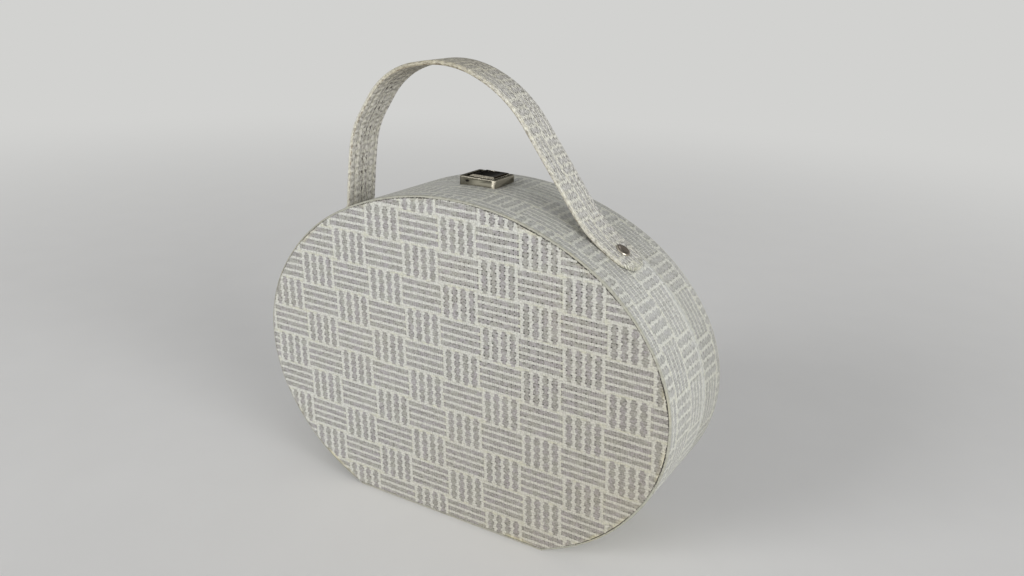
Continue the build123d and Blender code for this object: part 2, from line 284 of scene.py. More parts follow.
class Network(Tree):
    """The nodes of one material, ended by a Principled shader."""

    def __init__(self, name: str) -> None:
        """Makes the material, with its shader and its output.

        Args:
            name: name of the material.
        """
        self.material = bpy.data.materials.new(name)
        self.material.use_nodes = True
        super().__init__(self.material.node_tree)
        self.shader = self.node("ShaderNodeBsdfPrincipled")
        self.output = self.node("ShaderNodeOutputMaterial", inputs={"Surface": self.shader.outputs["BSDF"]})

    def attribute(self, name: str) -> Value:
        """Number that the mesh holds at its points under a name."""
        return Value(self, self.node("ShaderNodeAttribute", {"attribute_name": name}).outputs["Fac"])

    def length(self, name: str) -> Value:
        """Length that the mesh holds at its points under a name, in millimetres."""
        return self.attribute(name) / MM

    def place(self) -> tuple[Value, Value, Value]:
        """Reads the place on the object.

        Returns:
            The place along each axis, in millimetres.
        """
        source = self.node("ShaderNodeTexCoord").outputs["Object"]
        split = self.node("ShaderNodeSeparateXYZ", inputs={0: source})
        x, y, z = (Value(self, socket) / MM for socket in split.outputs)
        return x, y, z

    def point(self, x: Any, y: Any, z: Any = 0.0) -> bpy.types.NodeSocket:
        """Vector of three values."""
        return self.node("ShaderNodeCombineXYZ", inputs={0: x, 1: y, 2: z}).outputs[0]

    def cloud(self, where: Any, scale: float, detail: float) -> Value:
        """Soft noise between zero and one, its lumps about one divided by the scale apart."""
        inputs = {"Vector": where, "Scale": scale, "Detail": detail}
        return Value(self, self.node("ShaderNodeTexNoise", inputs=inputs).outputs["Fac"])

    def chance(self, x: Any, y: Any) -> Value:
        """Number between zero and one that is drawn once for each pair of whole numbers."""
        made = self.node("ShaderNodeTexWhiteNoise", {"noise_dimensions": "2D"}, {"Vector": self.point(x, y)})
        return Value(self, made.outputs["Value"])

    def relief(self, height: Any, distance: float) -> None:
        """Gives the surface a relief, distance in millimetres at a height of one."""
        inputs = {"Height": height, "Distance": distance * MM, "Strength": 1.0}
        self.feed(self.shader.inputs["Normal"], self.node("ShaderNodeBump", inputs=inputs).outputs[0])

    def shade(self, **inputs: Any) -> None:
        """Sets the shader's inputs by name, with underscores for spaces."""
        for key, given in inputs.items():
            self.feed(self.shader.inputs[key.replace("_", " ")], given)


def tint(red: int, green: int, blue: int) -> Colour:
    """Colour from its three parts on a screen's scale.

    Args:
        red: red part, from 0 to 255.
        green: green part, from 0 to 255.
        blue: blue part, from 0 to 255.
    Returns:
        The colour on the scale of light, opaque.
    """
    def linear(part: int) -> float:
        """One part on the scale of light, by the standard curve of screens."""
        share = part / 255
        return share / 12.92 if share <= 0.04045 else ((share + 0.055) / 1.055) ** 2.4
    return linear(red), linear(green), linear(blue), 1.0


# Finishes


@dataclass(frozen=True, kw_only=True)
class Finish:
    """A material by its name; each kind of finish paints it in its own way."""

    name: str

    def paint(self, net: Network) -> None:
        """Sets the material's shader; a kind of finish gives this."""
        raise NotImplementedError(self.name)

    def make(self) -> bpy.types.Material:
        """Makes the material.

        Returns:
            The painted material.
        """
        net = Network(self.name)
        self.paint(net)
        return net.material


@dataclass(frozen=True, kw_only=True)
class Inks:
    """Colours of a woven cover.

    The bars are ground or lilac, with dusk in their dark places. The threads are thread, shade
    where they are worn, and cream at the blocks' corners. Holes are pit, streaks are gleam or
    gloom, and broad stains are stain.
    """

    ground: Colour
    lilac: Colour
    dusk: Colour
    thread: Colour
    shade: Colour
    cream: Colour
    pit: Colour
    gleam: Colour
    gloom: Colour
    stain: Colour = tint(198, 184, 150)


PANEL_INKS = Inks(ground=tint(172, 172, 164), lilac=tint(172, 168, 170), dusk=tint(128, 126, 121),
                  thread=tint(214, 214, 208), shade=tint(174, 173, 164), cream=tint(209, 209, 187),
                  pit=tint(36, 33, 30), gleam=tint(232, 231, 220), gloom=tint(118, 115, 105))
BAND_INKS = Inks(ground=tint(190, 190, 184), lilac=tint(187, 186, 185), dusk=tint(160, 160, 153),
                 thread=tint(221, 221, 212), shade=tint(190, 190, 180), cream=tint(219, 218, 198),
                 pit=tint(92, 88, 82), gleam=tint(240, 240, 231), gloom=tint(112, 110, 101))
STRAP_INKS = Inks(ground=tint(198, 196, 190), lilac=tint(195, 192, 191), dusk=tint(170, 168, 161),
                  thread=tint(227, 225, 213), shade=tint(200, 198, 185), cream=tint(227, 223, 203),
                  pit=tint(84, 80, 74), gleam=tint(242, 241, 232), gloom=tint(110, 107, 98))


@dataclass(frozen=True, kw_only=True)
class WovenCover:
    """Coated cloth that is pressed and printed like a basket weave. Sizes are in millimetres.

    Blocks stand in rows. In every other block four grey bars run along the row, and in the rest
    they run across it. Light threads part the bars and close each row: wefts along the row, and
    warps across it, which have knots. Ribs run over all, and holes lie between the threads. A
    field that ends in scale says how fine a cloud is, in lumps to a millimetre.
    """

    inks: Inks = PANEL_INKS
    skew: float = 0.0
    beads: float = 0.28
    streaks: float = 0.3
    block_length: float = 27.0
    block_width: float = 20.14
    bars: int = 4
    first_weft: float = 0.85
    weft_pitch: float = 4.55
    weft_half: float = 0.78
    first_warp: float = 1.5
    warp_pitch: float = 6.0
    warp_half: float = 0.8
    soft: float = 0.3
    knot: float = 0.85
    slant: float = 1.3
    rib: float = 1.45
    wander: float = 2.0
    ragged: float = 0.85
    mottled: float = 2.8
    bar_dullness: float = 0.38
    thread_wear: float = 0.28
    streak_share: float = 3.0
    pit_share: float = 0.95
    stain_share: float = 0.08
    draws_per_block: float = 40.0
    mottle_scale: float = 0.85
    wander_scale: float = 0.22
    streak_scale: float = 0.9
    streak_along: float = 0.45
    streak_across: float = 1.5
    corner_scale: float = 0.12
    hue_scale: float = 0.13
    dirt_scale: float = 0.035
    stain_scale: float = 0.018
    thread_height: float = 0.8
    thread_rib: float = 0.15
    bar_rib: float = 0.14
    pit_depth: float = 0.5
    streak_height: float = 1.2

    def last_weft(self) -> float:
        """Place of the last weft in its row."""
        return self.first_weft + self.bars * self.weft_pitch

    def threads(self, x: Value, y: Value, upright: Value, ragged: Value) -> Value:
        """Light threads of a block.

        Args:
            x: place in the block, along the row.
            y: place in the block, across the row.
            upright: one where the bars run across the row.
            ragged: how much wider than usual the threads are.
        Returns:
            One on a thread and zero beside it.
        """
        last_weft = self.last_weft()
        last_warp = self.first_warp + self.bars * self.warp_pitch
        weft = y.within(self.first_weft, last_weft).off_line(self.weft_pitch, self.first_weft)
        flat = (weft - ragged).rise(self.weft_half + self.soft, self.weft_half - self.soft)
        lean = ((x - self.first_warp) / self.warp_pitch).part() - 0.5
        level = (y + lean * self.slant).within(self.first_weft, last_weft)
        knot = level.ripple(self.weft_pitch, self.first_weft).rise(0.45, 0.85) * self.knot
        warp = x.within(self.first_warp, last_warp).off_line(self.warp_pitch, self.first_warp)
        tall = (warp - knot - ragged).rise(self.warp_half + self.soft, self.warp_half - self.soft)
        return upright.choose(flat, tall)

    def pits(self, net: Network, x: Value, y: Value, column: Value, row: Value) -> tuple[Value, Value]:
        """Holes between the threads, some of them closed.

        Args:
            net: nodes of the material.
            x: place in the block, along the row.
            y: place in the block, across the row.
            column: number of the block in its row.
            row: number of the row.
        Returns:
            One in a hole and zero beside it, and the number that is drawn for each hole.
        """
        hole_x = self.warp_pitch / 2
        hole_y = self.weft_pitch / 2
        cell_x = ((x - self.first_warp) / hole_x).floor() + column * self.draws_per_block
        cell_y = ((y - self.first_weft) / hole_y).floor() + row * self.draws_per_block
        drawn = net.chance(cell_x, cell_y)
        pit = x.off_line(hole_x, self.first_warp + hole_x / 2).rise(0.65, 0.3)
        pit = pit * y.off_line(hole_y, self.first_weft + hole_y / 2).rise(0.42, 0.2)
        return pit * drawn.rise(0.15, 0.6), drawn

    def lay(self, net: Network, along: Value, across: Value,
            holes: Any) -> tuple[bpy.types.NodeSocket, Value]:
        """Colour and height of the weave.

        Args:
            net: nodes of the material.
            along: distance along the rows, from a corner of a block.
            across: distance across the rows, from the same corner.
            holes: how dark the holes between the threads are, besides their usual dirt.
        Returns:
            The colour's socket and the height, which is about one on a thread.
        """
        inks = self.inks
        row = (across / self.block_width).floor()
        y = across - row * self.block_width
        shifted = along - across * self.skew
        column = (shifted / self.block_length).floor()
        x = shifted - column * self.block_length
        side = x.least(self.block_length - x)
        upright = ((column + row) * 0.5).part() * 2 * side.rise(0.25, 0.75)
        where = net.point(along, across)
        mottle = net.cloud(where, self.mottle_scale, 3.0) - 0.5
        wander = (net.cloud(where, self.wander_scale, 1.0) - 0.5) * self.wander
        rib = upright.choose((x + wander).ripple(self.rib), (y + wander).ripple(self.rib))
        bead = (rib - 0.5) * self.beads
        drawn_out = net.point(along * self.streak_along, across * self.streak_across)
        streak = (net.cloud(drawn_out, self.streak_scale, 2.0) - 0.5) * self.streaks
        light = self.threads(x, y, upright, mottle * self.ragged + bead * 0.5 + streak * 2.0)
        border = y.rise(1.1, 0.1).most(y.rise(self.last_weft() - 0.3, self.block_width))
        corner = border.most(side.rise(1.6, 0.4) * 0.7)
        corner = corner * net.cloud(where, self.corner_scale, 2.0).rise(0.35, 0.65)
        dirt = net.cloud(where, self.dirt_scale, 3.0).rise(0.42, 0.56) * 0.45 + 0.05 + holes
        pit, drawn = self.pits(net, x, y, column, row)
        pit = pit * (1 - light * 0.7) * dirt.share()
        hue = net.cloud(where, self.hue_scale, 3.0).rise(0.36, 0.64)
        dull = mottle * self.mottled - bead + (drawn - 0.5) * 0.45 + self.bar_dullness
        ground = net.mix(dull.share(), net.mix(hue, inks.ground, inks.lilac), inks.dusk)
        worn = mottle * -self.mottled - bead + self.thread_wear
        pale = net.mix(worn.share(), net.mix(corner * 0.9, inks.thread, inks.cream), inks.shade)
        colour = net.mix(light, ground, pale)
        colour = net.mix((streak * self.streak_share).share(), colour, inks.gleam)
        colour = net.mix((streak * -self.streak_share).share(), colour, inks.gloom)
        colour = net.mix(pit * self.pit_share, colour, inks.pit)
        stain = net.cloud(where, self.stain_scale, 4.0).rise(0.45, 0.8)
        colour = net.mix(stain * self.stain_share, colour, inks.stain)
        height = light * (self.thread_height + rib * self.thread_rib) + rib * self.bar_rib * (1 - light)
        return colour, height - pit * self.pit_depth + streak * self.streak_height


@dataclass(frozen=True, kw_only=True)
class CrackDirtAndShadow:
    """Dirt and painted shadow in the crack between a panel and the fold round it. Sizes are in millimetres.

    The crack is dark in dashes, painted shadow and dirt, and faint between them. Patches of it are dirtier
    than the rest.
    """

    crack_dirt_and_shadow: Colour = tint(36, 29, 22)
    crack_width: float = 0.5
    crack_full: float = 0.18
    soiled: Colour = tint(212, 202, 156)
    soil_width: float = 3.2
    soil_full: float = 0.2
    soil_share: float = 0.22
    patch_scale: float = 0.03
    dash_scale: float = 0.75
    patch_sway: float = 1.2
    dash_share: float = 0.92
    least_share: float = 0.05

    def lay(self, net: Network, colour: Any, reach: Value, where: Any) -> bpy.types.NodeSocket:
        """Colour with the dirt and the painted shadow laid on it.

        Args:
            net: nodes of the material.
            colour: colour without the dirt and the shadow.
            reach: distance from the crack in millimetres.
            where: place that the dirt varies by.
        Returns:
            The socket of the new colour.
        """
        patch = net.cloud(where, self.patch_scale, 3.0)
        fine = net.cloud(where, self.dash_scale, 2.0)
        soil = reach.rise(self.soil_width, self.soil_full) * patch.rise(0.5, 0.72)
        colour = net.mix(soil * self.soil_share, colour, self.soiled)
        # Painted shadow and dirt in the crack, dark in dashes.
        dash = (fine + (patch - 0.5) * self.patch_sway).rise(0.45, 0.58)
        dark = dash * self.dash_share + self.least_share
        line = reach.rise(self.crack_width, self.crack_full) * dark
        return net.mix(line, colour, self.crack_dirt_and_shadow)


@dataclass(frozen=True, kw_only=True)
class PanelFinish(Finish):
    """Woven cover on a flat panel, patterned by its place. Sizes are in millimetres.

    Its holes are dirtiest round one spot, and it is darker towards its lower right. Both are as seen from
    outside, where facing is one for the front panel and minus one for the back.
    """

    start_x: float
    start_z: float
    facing: float = 1.0
    weave: WovenCover = WovenCover(skew=0.058)
    rim: CrackDirtAndShadow = CrackDirtAndShadow(soil_share=0.65)
    holed_x: float = 62.0
    holed_z: float = 152.0
    holed_from: float = 76.0
    holed_to: float = 30.0
    holed_share: float = 0.9
    lower_right_tone: Colour = tint(222, 214, 200)
    lower_right_from: float = -170.0
    lower_right_to: float = 110.0
    lower_right_share: float = 0.6
    relief: float = 0.14

    def paint(self, net: Network) -> None:
        """Lays the weave, the darkening towards the lower right, and the dirt and painted shadow at the rim.

        Args:
            net: nodes of the material.
        """
        x, _, z = net.place()
        along = (x - self.start_x) * self.facing
        from_x = along - self.holed_x
        from_z = z - self.holed_z
        holed = (from_x * from_x + from_z * from_z) ** 0.5
        holes = holed.rise(self.holed_from, self.holed_to) * self.holed_share
        colour, height = self.weave.lay(net, along, self.start_z - z, holes)
        # The colour is multiplied darker towards the lower right.
        lower_right_tone = (x * self.facing - z).rise(self.lower_right_from, self.lower_right_to)
        colour = net.mix(lower_right_tone * self.lower_right_share, colour, self.lower_right_tone, "MULTIPLY")
        colour = self.rim.lay(net, colour, net.length("edge"), net.point(x, 0.0, z))
        net.relief(height, self.relief)
        net.shade(Base_Color=colour, Roughness=0.55)


@dataclass(frozen=True, kw_only=True)
class WrapFinish(Finish):
    """Woven cover that follows a band by the lengths held in its mesh. Sizes are in millimetres.

    It is folded over the rim, where it is plainer and creased, and its lip at the seam is rubbed.
    """

    start_along: float
    start_across: float
    lip: float
    way: int
    dirt: float = 0.0
    weave: WovenCover = WovenCover(inks=BAND_INKS, beads=0.6, streaks=0.7)
    rim: CrackDirtAndShadow = CrackDirtAndShadow()
    stretch: float = 1.026
    holes: float = 0.12
    margin: float = 3.0
    margin_soft: float = 0.6
    lip_width: float = 1.9
    lip_soft: float = 0.5
    fold: Colour = tint(197, 197, 187)
    fold_shade: Colour = tint(168, 166, 152)
    crease: Colour = tint(160, 154, 134)
    fold_foot: Colour = tint(152, 150, 132)
    rubbed: Colour = tint(210, 211, 206)
    grime: Colour = tint(214, 213, 208)
    fold_scale: float = 0.6
    crease_drawn: float = 0.12
    crease_share: float = 0.5
    fold_share: float = 0.6
    foot_width: float = 2.7
    foot_full: float = 1.7
    foot_share: float = 0.5
    lip_scale: float = 0.5
    lip_share: float = 0.8
    relief: float = 0.44

    def paint(self, net: Network) -> None:
        """Lays the weave, the fold over the rim and the rubbed lip.

        Args:
            net: nodes of the material.
        """
        along = net.length("along")
        across = net.length("across")
        reach = net.length("edge")
        scaled = (along - self.start_along) / self.stretch
        colour, height = self.weave.lay(net, scaled, across - self.start_across, self.holes)
        where = net.point(along, across)
        fold = net.mix(net.cloud(where, self.fold_scale, 3.0).rise(0.3, 0.7), self.fold, self.fold_shade)
        drawn_out = net.point(along, across * self.crease_drawn)
        crease = net.cloud(drawn_out, self.fold_scale, 2.0).rise(0.54, 0.66)
        fold = net.mix(crease * self.crease_share, fold, self.crease)
        rim = reach.rise(self.margin + self.margin_soft, self.margin - self.margin_soft)
        to_lip = (across - self.lip) * self.way
        lip = to_lip.rise(-self.lip_width - self.lip_soft, -self.lip_width + self.lip_soft)
        lip = lip * net.cloud(where, self.lip_scale, 2.0).rise(0.2, 0.6)
        colour = net.mix(rim * self.fold_share, colour, fold)
        foot = reach.rise(self.foot_width, self.foot_full)
        colour = net.mix(foot * self.foot_share, colour, self.fold_foot)
        colour = net.mix(lip * self.lip_share, colour, self.rubbed)
        colour = net.mix(self.dirt, colour, self.grime, "MULTIPLY")
        colour = self.rim.lay(net, colour, reach, where)
        net.relief(height * (1 - rim * 0.5) * (1 - lip), self.relief)
        net.shade(Base_Color=colour, Roughness=0.5)


@dataclass(frozen=True, kw_only=True)
class StrapFinish(Finish):
    """Woven cover of the strap, wrapped round it and closed by a seam inside. Sizes are in millimetres.

    Its edges are rubbed, with a painted shadow along their lower sides; its inner side has puffed cells in
    columns, painted lighter on the puffs and darker between them; and its crown is darkened, painted shade
    where little light falls from above. Seam is the seam's place across the inner side, where the lengths
    round both edges meet.
    """

    half_width: float
    thickness: float
    length: float
    seam: float
    name: str = "woven_strap"
    weave: WovenCover = WovenCover(inks=STRAP_INKS, beads=0.5, streaks=1.5)
    start_along: float = 18.5
    start_across: float = -21.3
    holes: float = 0.45
    cell_width: float = 4.9
    cell_length: float = 4.4
    cell_shift: float = 2.0
    cell_wander: float = 6.0
    cell_highlight: Colour = tint(232, 228, 218)
    cell_gap_shade: Colour = tint(122, 114, 100)
    inner_tone: Colour = tint(150, 138, 116)
    rubbed_edge: Colour = tint(216, 212, 192)
    edge_contact_shadow: Colour = tint(128, 106, 76)
    seam_dark: Colour = tint(52, 45, 38)
    crown_shade: Colour = tint(212, 206, 192)
    crown_shade_middle: float = 0.46
    crown_shade_from: float = 60.0
    crown_shade_to: float = 12.0
    tip_tone: Colour = tint(190, 192, 160)
    tip_from: float = 9.0
    tip_to: float = 1.0
    edge_from: float = 0.9
    edge_full: float = 0.2
    inner_soft: float = 0.6
    worn_scale: float = 0.5
    worn_share: float = 0.5
    worn_least: float = 0.2
    inner_share: float = 0.16
    gap_shade_share: float = 0.16
    cell_highlight_share: float = 0.55
    shadow_in: float = 0.5
    shadow_width: float = 0.5
    shadow_full: float = 0.15
    shadow_share: float = 0.7
    seam_scale: float = 0.25
    seam_width: float = 0.7
    seam_full: float = 0.2
    seam_share: float = 0.75
    seam_least: float = 0.2
    crown_shade_share: float = 0.75
    tip_share: float = 0.45
    cell_height: float = 1.8
    relief: float = 0.24

    def paint(self, net: Network) -> None:
        """Lays the weave, the edges with their painted shadow, the inner side with its seam and its painted
        cell shading, and the painted shade on the crown.

        Args:
            net: nodes of the material.
        """
        along = net.length("along")
        across = net.length("across")
        from_start = along - self.start_along
        colour, height = self.weave.lay(net, from_start, across - self.start_across, self.holes)
        where = net.point(along, across)
        far = across.size()
        inner_edge = self.half_width + self.thickness
        fold = far.rise(self.half_width - self.edge_from, self.half_width - self.edge_full)
        inner = far.rise(inner_edge - self.inner_soft, inner_edge)
        edge = fold * (1 - inner)
        rubbed = net.cloud(where, self.worn_scale, 3.0).rise(0.35, 0.65)
        column = (across / self.cell_width).floor()
        wander = (net.cloud(where, 0.3, 2.0) - 0.5) * self.cell_wander
        puffed = (along + column * self.cell_shift + wander).ripple(self.cell_length)
        puffed = puffed * across.ripple(self.cell_width, self.cell_width / 2)
        puffed = puffed.rise(0.08, 0.5) * inner
        colour = net.mix(edge * (rubbed * self.worn_share + self.worn_least), colour, self.rubbed_edge)
        colour = net.mix(inner * self.inner_share, colour, self.inner_tone)
        # Painted light and shade on the relief: darker in the gaps between the puffed cells, lighter on the
        # puffs.
        colour = net.mix((inner - puffed) * self.gap_shade_share, colour, self.cell_gap_shade)
        colour = net.mix(puffed * self.cell_highlight_share, colour, self.cell_highlight)
        # Painted contact shadow: a dark brown line along the lower side of both edges, broken by the wear
        # noise.
        under = (far - (inner_edge - self.shadow_in)).size().rise(self.shadow_width, self.shadow_full)
        colour = net.mix(under * (1 - rubbed) * self.shadow_share, colour, self.edge_contact_shadow)
        middle = self.half_width * 2 + self.thickness
        seam = (far - (middle + self.seam)).size().least((far - (middle - self.seam)).size())
        dash = net.cloud(net.point(along, 0.0), self.seam_scale, 2.0).rise(0.48, 0.6)
        slit = seam.rise(self.seam_width, self.seam_full) * inner
        colour = net.mix(slit * (dash * self.seam_share + self.seam_least), colour, self.seam_dark)
        # Painted shade: the crown is darkened where little light falls from above.
        crown_shade_mask = (along - self.length * self.crown_shade_middle).size().rise(self.crown_shade_from, self.crown_shade_to)
        colour = net.mix(crown_shade_mask * self.crown_shade_share, colour, self.crown_shade, "MULTIPLY")
        tip = along.rise(self.length - self.tip_from, self.length - self.tip_to) * (1 - inner)
        colour = net.mix(tip * rubbed * self.tip_share, colour, self.tip_tone)
        net.relief(height * (1 - edge * 0.5) + puffed * self.cell_height, self.relief)
        net.shade(Base_Color=colour, Roughness=0.6, Specular_IOR_Level=0.3)


@dataclass(frozen=True, kw_only=True)
class BoardFinish(Finish):
    """Grey pressed board with short fibres."""

    name: str = "grey_board"
    dark: Colour = tint(150, 142, 128)
    pale: Colour = tint(176, 168, 152)
    relief: float = 0.08

    def paint(self, net: Network) -> None:
        """Lays the fibres.

        Args:
            net: nodes of the material.
        """
        fibre = net.cloud(net.point(*net.place()), 1.6, 5.0)
        net.relief(fibre, self.relief)
        net.shade(Base_Color=net.mix(fibre, self.dark, self.pale), Roughness=0.9)


@dataclass(frozen=True, kw_only=True)
class PaperFinish(Finish):
    """Plain lining paper with darker fibres, yellowed in places."""

    name: str = "lining_paper"
    plain: Colour = tint(214, 206, 186)
    yellowed: Colour = tint(200, 190, 166)
    fibres: Colour = tint(176, 164, 140)
    relief: float = 0.05

    def paint(self, net: Network) -> None:
        """Lays the yellowing and the fibres.

        Args:
            net: nodes of the material.
        """
        where = net.point(*net.place())
        fibre = net.cloud(where, 2.2, 4.0)
        colour = net.mix(net.cloud(where, 0.05, 4.0), self.plain, self.yellowed)
        colour = net.mix(fibre.rise(0.62, 0.75) * 0.4, colour, self.fibres)
        net.relief(fibre, self.relief)
        net.shade(Base_Color=colour, Roughness=0.8)


@dataclass(frozen=True, kw_only=True)
class ClothFinish(Finish):
    """Fine plain-woven cloth of the hinge. Sizes are in millimetres."""

    name: str = "hinge_cloth"
    thread_pitch: float = 0.5
    gap: Colour = tint(178, 174, 162)
    thread: Colour = tint(206, 202, 190)
    relief: float = 0.08

    def paint(self, net: Network) -> None:
        """Lays the threads both ways.

        Args:
            net: nodes of the material.
        """
        x, y, _ = net.place()
        weave = x.ripple(self.thread_pitch) * y.ripple(self.thread_pitch)
        net.relief(weave, self.relief)
        net.shade(Base_Color=net.mix(weave, self.gap, self.thread), Roughness=0.85)


@dataclass(frozen=True, kw_only=True)
class MetalFinish(Finish):
    """Plated steel, dulled unevenly and specked.

    It is smooth where it is dull and rough where it is bright. Glance is how white it is at a flat angle,
    rubbed is how strongly the points that its mesh marks are brightened, by rubbed plating at the edges and
    by painted highlights and painted reflections, and dark_top_reflection_from is the height in millimetres
    at which its top is painted nearly black, a painted reflection of a dark room above.
    """

    dull: Colour
    bright: Colour
    smooth: float
    rough: float
    glance: float
    rubbed: float = 0.0
    dark_top_reflection_from: float | None = None
    dark_top_reflection_soft: float = 0.12
    dark_top_reflection: Colour = tint(24, 22, 19)
    wear_and_highlight: Colour = tint(220, 213, 196)
    specks: Colour = tint(82, 70, 54)
    patina_scale: float = 0.12
    patina_share: float = 0.5
    brushed_along: float = 0.15
    brushed_across: float = 2.5
    brushed_share: float = 0.2
    dark_top_reflection_share: float = 0.85
    worn_scale: float = 2.2
    worn_share: float = 0.45
    worn_least: float = 0.5
    speck_scale: float = 1.3
    speck_share: float = 0.3
    speck_rough: float = 0.12

    def paint(self, net: Network) -> None:
        """Lays the plating, the painted dark reflection on its top, its brightened points (rubbed edges and
        painted highlights) and its specks.

        Args:
            net: nodes of the material.
        """
        x, y, z = net.place()
        where = net.point(x, y, z)
        patina = net.cloud(where, self.patina_scale, 3.0).rise(0.3, 0.7)
        drawn_out = net.point(x * self.brushed_along, y * self.brushed_across, z * self.brushed_across)
        brushed = net.cloud(drawn_out, 1.0, 2.0)
        speck = net.cloud(where, self.speck_scale, 2.0).rise(0.66, 0.76)
        dulled = patina * self.patina_share + brushed * self.brushed_share
        colour = net.mix(dulled, self.dull, self.bright)
        # Painted reflection: the top is darkened nearly to black, standing in for a dark room mirrored in
        # it.
        if self.dark_top_reflection_from is not None:
            dark_top_reflection = z.rise(self.dark_top_reflection_from - self.dark_top_reflection_soft, self.dark_top_reflection_from)
            colour = net.mix(dark_top_reflection * self.dark_top_reflection_share, colour, self.dark_top_reflection)
        # Painted highlights, with some rubbed plating at the edges: the points that the mesh marks are
        # brightened.
        if self.rubbed:
            uneven = net.cloud(where, self.worn_scale, 2.0).rise(0.4, 0.6)
            worn = net.attribute("edge") * (uneven * self.worn_share + self.worn_least)
            colour = net.mix(worn * self.rubbed, colour, self.wear_and_highlight)
        colour = net.mix(speck * self.speck_share, colour, self.specks)
        roughness = patina * (self.rough - self.smooth) + self.smooth + speck * self.speck_rough
        glance = (self.glance, self.glance, self.glance, 1.0)
        net.shade(Base_Color=colour, Metallic=1.0, Roughness=roughness, Specular_Tint=glance)


@dataclass(frozen=True, kw_only=True)
class StageFinish(Finish):
    """Plain pale surface under the case, which turns into the plain background further off.

    Near and far are the distances in millimetres where that starts and ends.
    """

    background: Colour
    near: float = 420.0
    far: float = 1700.0
    name: str = "floor"
    dark: Colour = tint(230, 229, 227)
    pale: Colour = tint(234, 233, 231)

    def paint(self, net: Network) -> None:
        """Lays the faint grain and the turn into the background.

        Args:
            net: nodes of the material.
        """
        x, y, _ = net.place()
        grain = net.cloud(net.point(x, y), 0.02, 2.0)
        net.shade(Base_Color=net.mix(grain, self.dark, self.pale), Roughness=0.9)
        away = (x * x + y * y) ** 0.5
        glow = net.node("ShaderNodeEmission", inputs={"Color": self.background, "Strength": 1.0})
        share = net.plainly_seen() * away.rise(self.near, self.far)
        surface = {0: share, 1: net.shader.outputs[0], 2: glow.outputs[0]}
        blend = net.node("ShaderNodeMixShader", inputs=surface)
        net.feed(net.output.inputs["Surface"], blend.outputs[0])


# Meshes


def spin(mesh: bmesh.types.BMesh, geom: list, centre: Vector, axis: Vector, angle: float, steps: int,
         closed: bool = False) -> list:
    """Spins parts of a mesh about an axis.

    Args:
        mesh: the mesh.
        geom: its vertices and edges that are spun.
        centre: point on the axis.
        axis: direction of the axis.
        angle: turn in radians.
        steps: number of equal parts.
        closed: whether the last part joins the first.
    Returns:
        The vertices and edges that the last step has made.
    """
    turned = bmesh.ops.spin(mesh, geom=geom, cent=centre, axis=axis, dvec=(0, 0, 0), angle=angle,
                            space=Matrix.Identity(4), steps=steps, use_merge=closed,
                            use_normal_flip=False, use_duplicate=False)
    return turned["geom_last"]


class Rail:
    """Drags an outline along straight runs and arcs, and writes how far each point has come."""

    def __init__(self, mesh: bmesh.types.BMesh, start: float = 0.0) -> None:
        """Takes the mesh, whose edges are the outline.

        Args:
            mesh: mesh with the outline alone.
            start: distance of the outline's points.
        """
        self.mesh = mesh
        self.distance = start
        self.along = mesh.verts.layers.float["along"]
        self.outline = list(mesh.edges)
        for vert in mesh.verts:
            vert[self.along] = start

    def points(self) -> list[bmesh.types.BMVert]:
        """Vertices of the outline."""
        return list({vert for edge in self.outline for vert in edge.verts})

    def stamp(self, made: list, step: float) -> None:
        """Writes the distance on the points that a step has made, and carries on from them.

        Args:
            made: vertices and edges of the new outline.
            step: length of the step.
        """
        self.distance += step
        for item in made:
            if isinstance(item, bmesh.types.BMVert):
                item[self.along] = self.distance
        self.outline = [item for item in made if isinstance(item, bmesh.types.BMEdge)]

    def bend(self, centre: Vector, angle: float, radius: float, steps: int) -> None:
        """Turns the outline about an axis that runs depthwise.

        Args:
            centre: point on the axis.
            angle: turn in radians.
            radius: radius at which the distance is measured.
            steps: number of equal parts.
        """
        for _ in range(steps):
            made = spin(self.mesh, self.points() + self.outline, centre, DEPTHWISE, angle / steps, 1)
            self.stamp(made, radius * abs(angle) / steps)

    def run(self, shift: Vector, steps: int) -> None:
        """Moves the outline straight.

        Args:
            shift: the whole move.
            steps: number of equal parts.
        """
        for _ in range(steps):
            made = bmesh.ops.extrude_edge_only(self.mesh, edges=self.outline)["geom"]
            points = [item for item in made if isinstance(item, bmesh.types.BMVert)]
            bmesh.ops.translate(self.mesh, verts=points, vec=shift / steps)
            kept = set(points)
            lines = [item for item in made if isinstance(item, bmesh.types.BMEdge)
                     and item.verts[0] in kept and item.verts[1] in kept]
            self.stamp(points + lines, shift.length / steps)


def new_mesh() -> bmesh.types.BMesh:
    """Empty mesh with the distances that a pattern follows.

    Returns:
        The mesh, whose points hold a distance along, a distance across and one from an edge.
    """
    mesh = bmesh.new()
    for name in ("along", "across", "edge"):
        mesh.verts.layers.float.new(name)
    return mesh


def trace(mesh: bmesh.types.BMesh, points: Iterable[Vector],
          closed: bool = False) -> list[bmesh.types.BMVert]:
    """Outline through a few points.

    Args:
        mesh: mesh that gets the outline.
        points: its corners, in order.
        closed: whether its last corner joins its first.
    Returns:
        Its vertices, in order.
    """
    verts = [mesh.verts.new(point) for point in points]
    pairs = list(zip(verts, verts[1:]))
    if closed:
        pairs.append((verts[-1], verts[0]))
    for pair in pairs:
        mesh.edges.new(pair)
    return verts


def everything(mesh: bmesh.types.BMesh) -> list:
    """All vertices, edges and faces of a mesh."""
    return mesh.verts[:] + mesh.edges[:] + mesh.faces[:]


def as_object(name: str, data: Any) -> bpy.types.Object:
    """Object in the scene.

    Args:
        name: name of the object.
        data: its mesh, lamp or camera.
    Returns:
        The object.
    """
    made = bpy.data.objects.new(name, data)
    bpy.context.collection.objects.link(made)
    return made


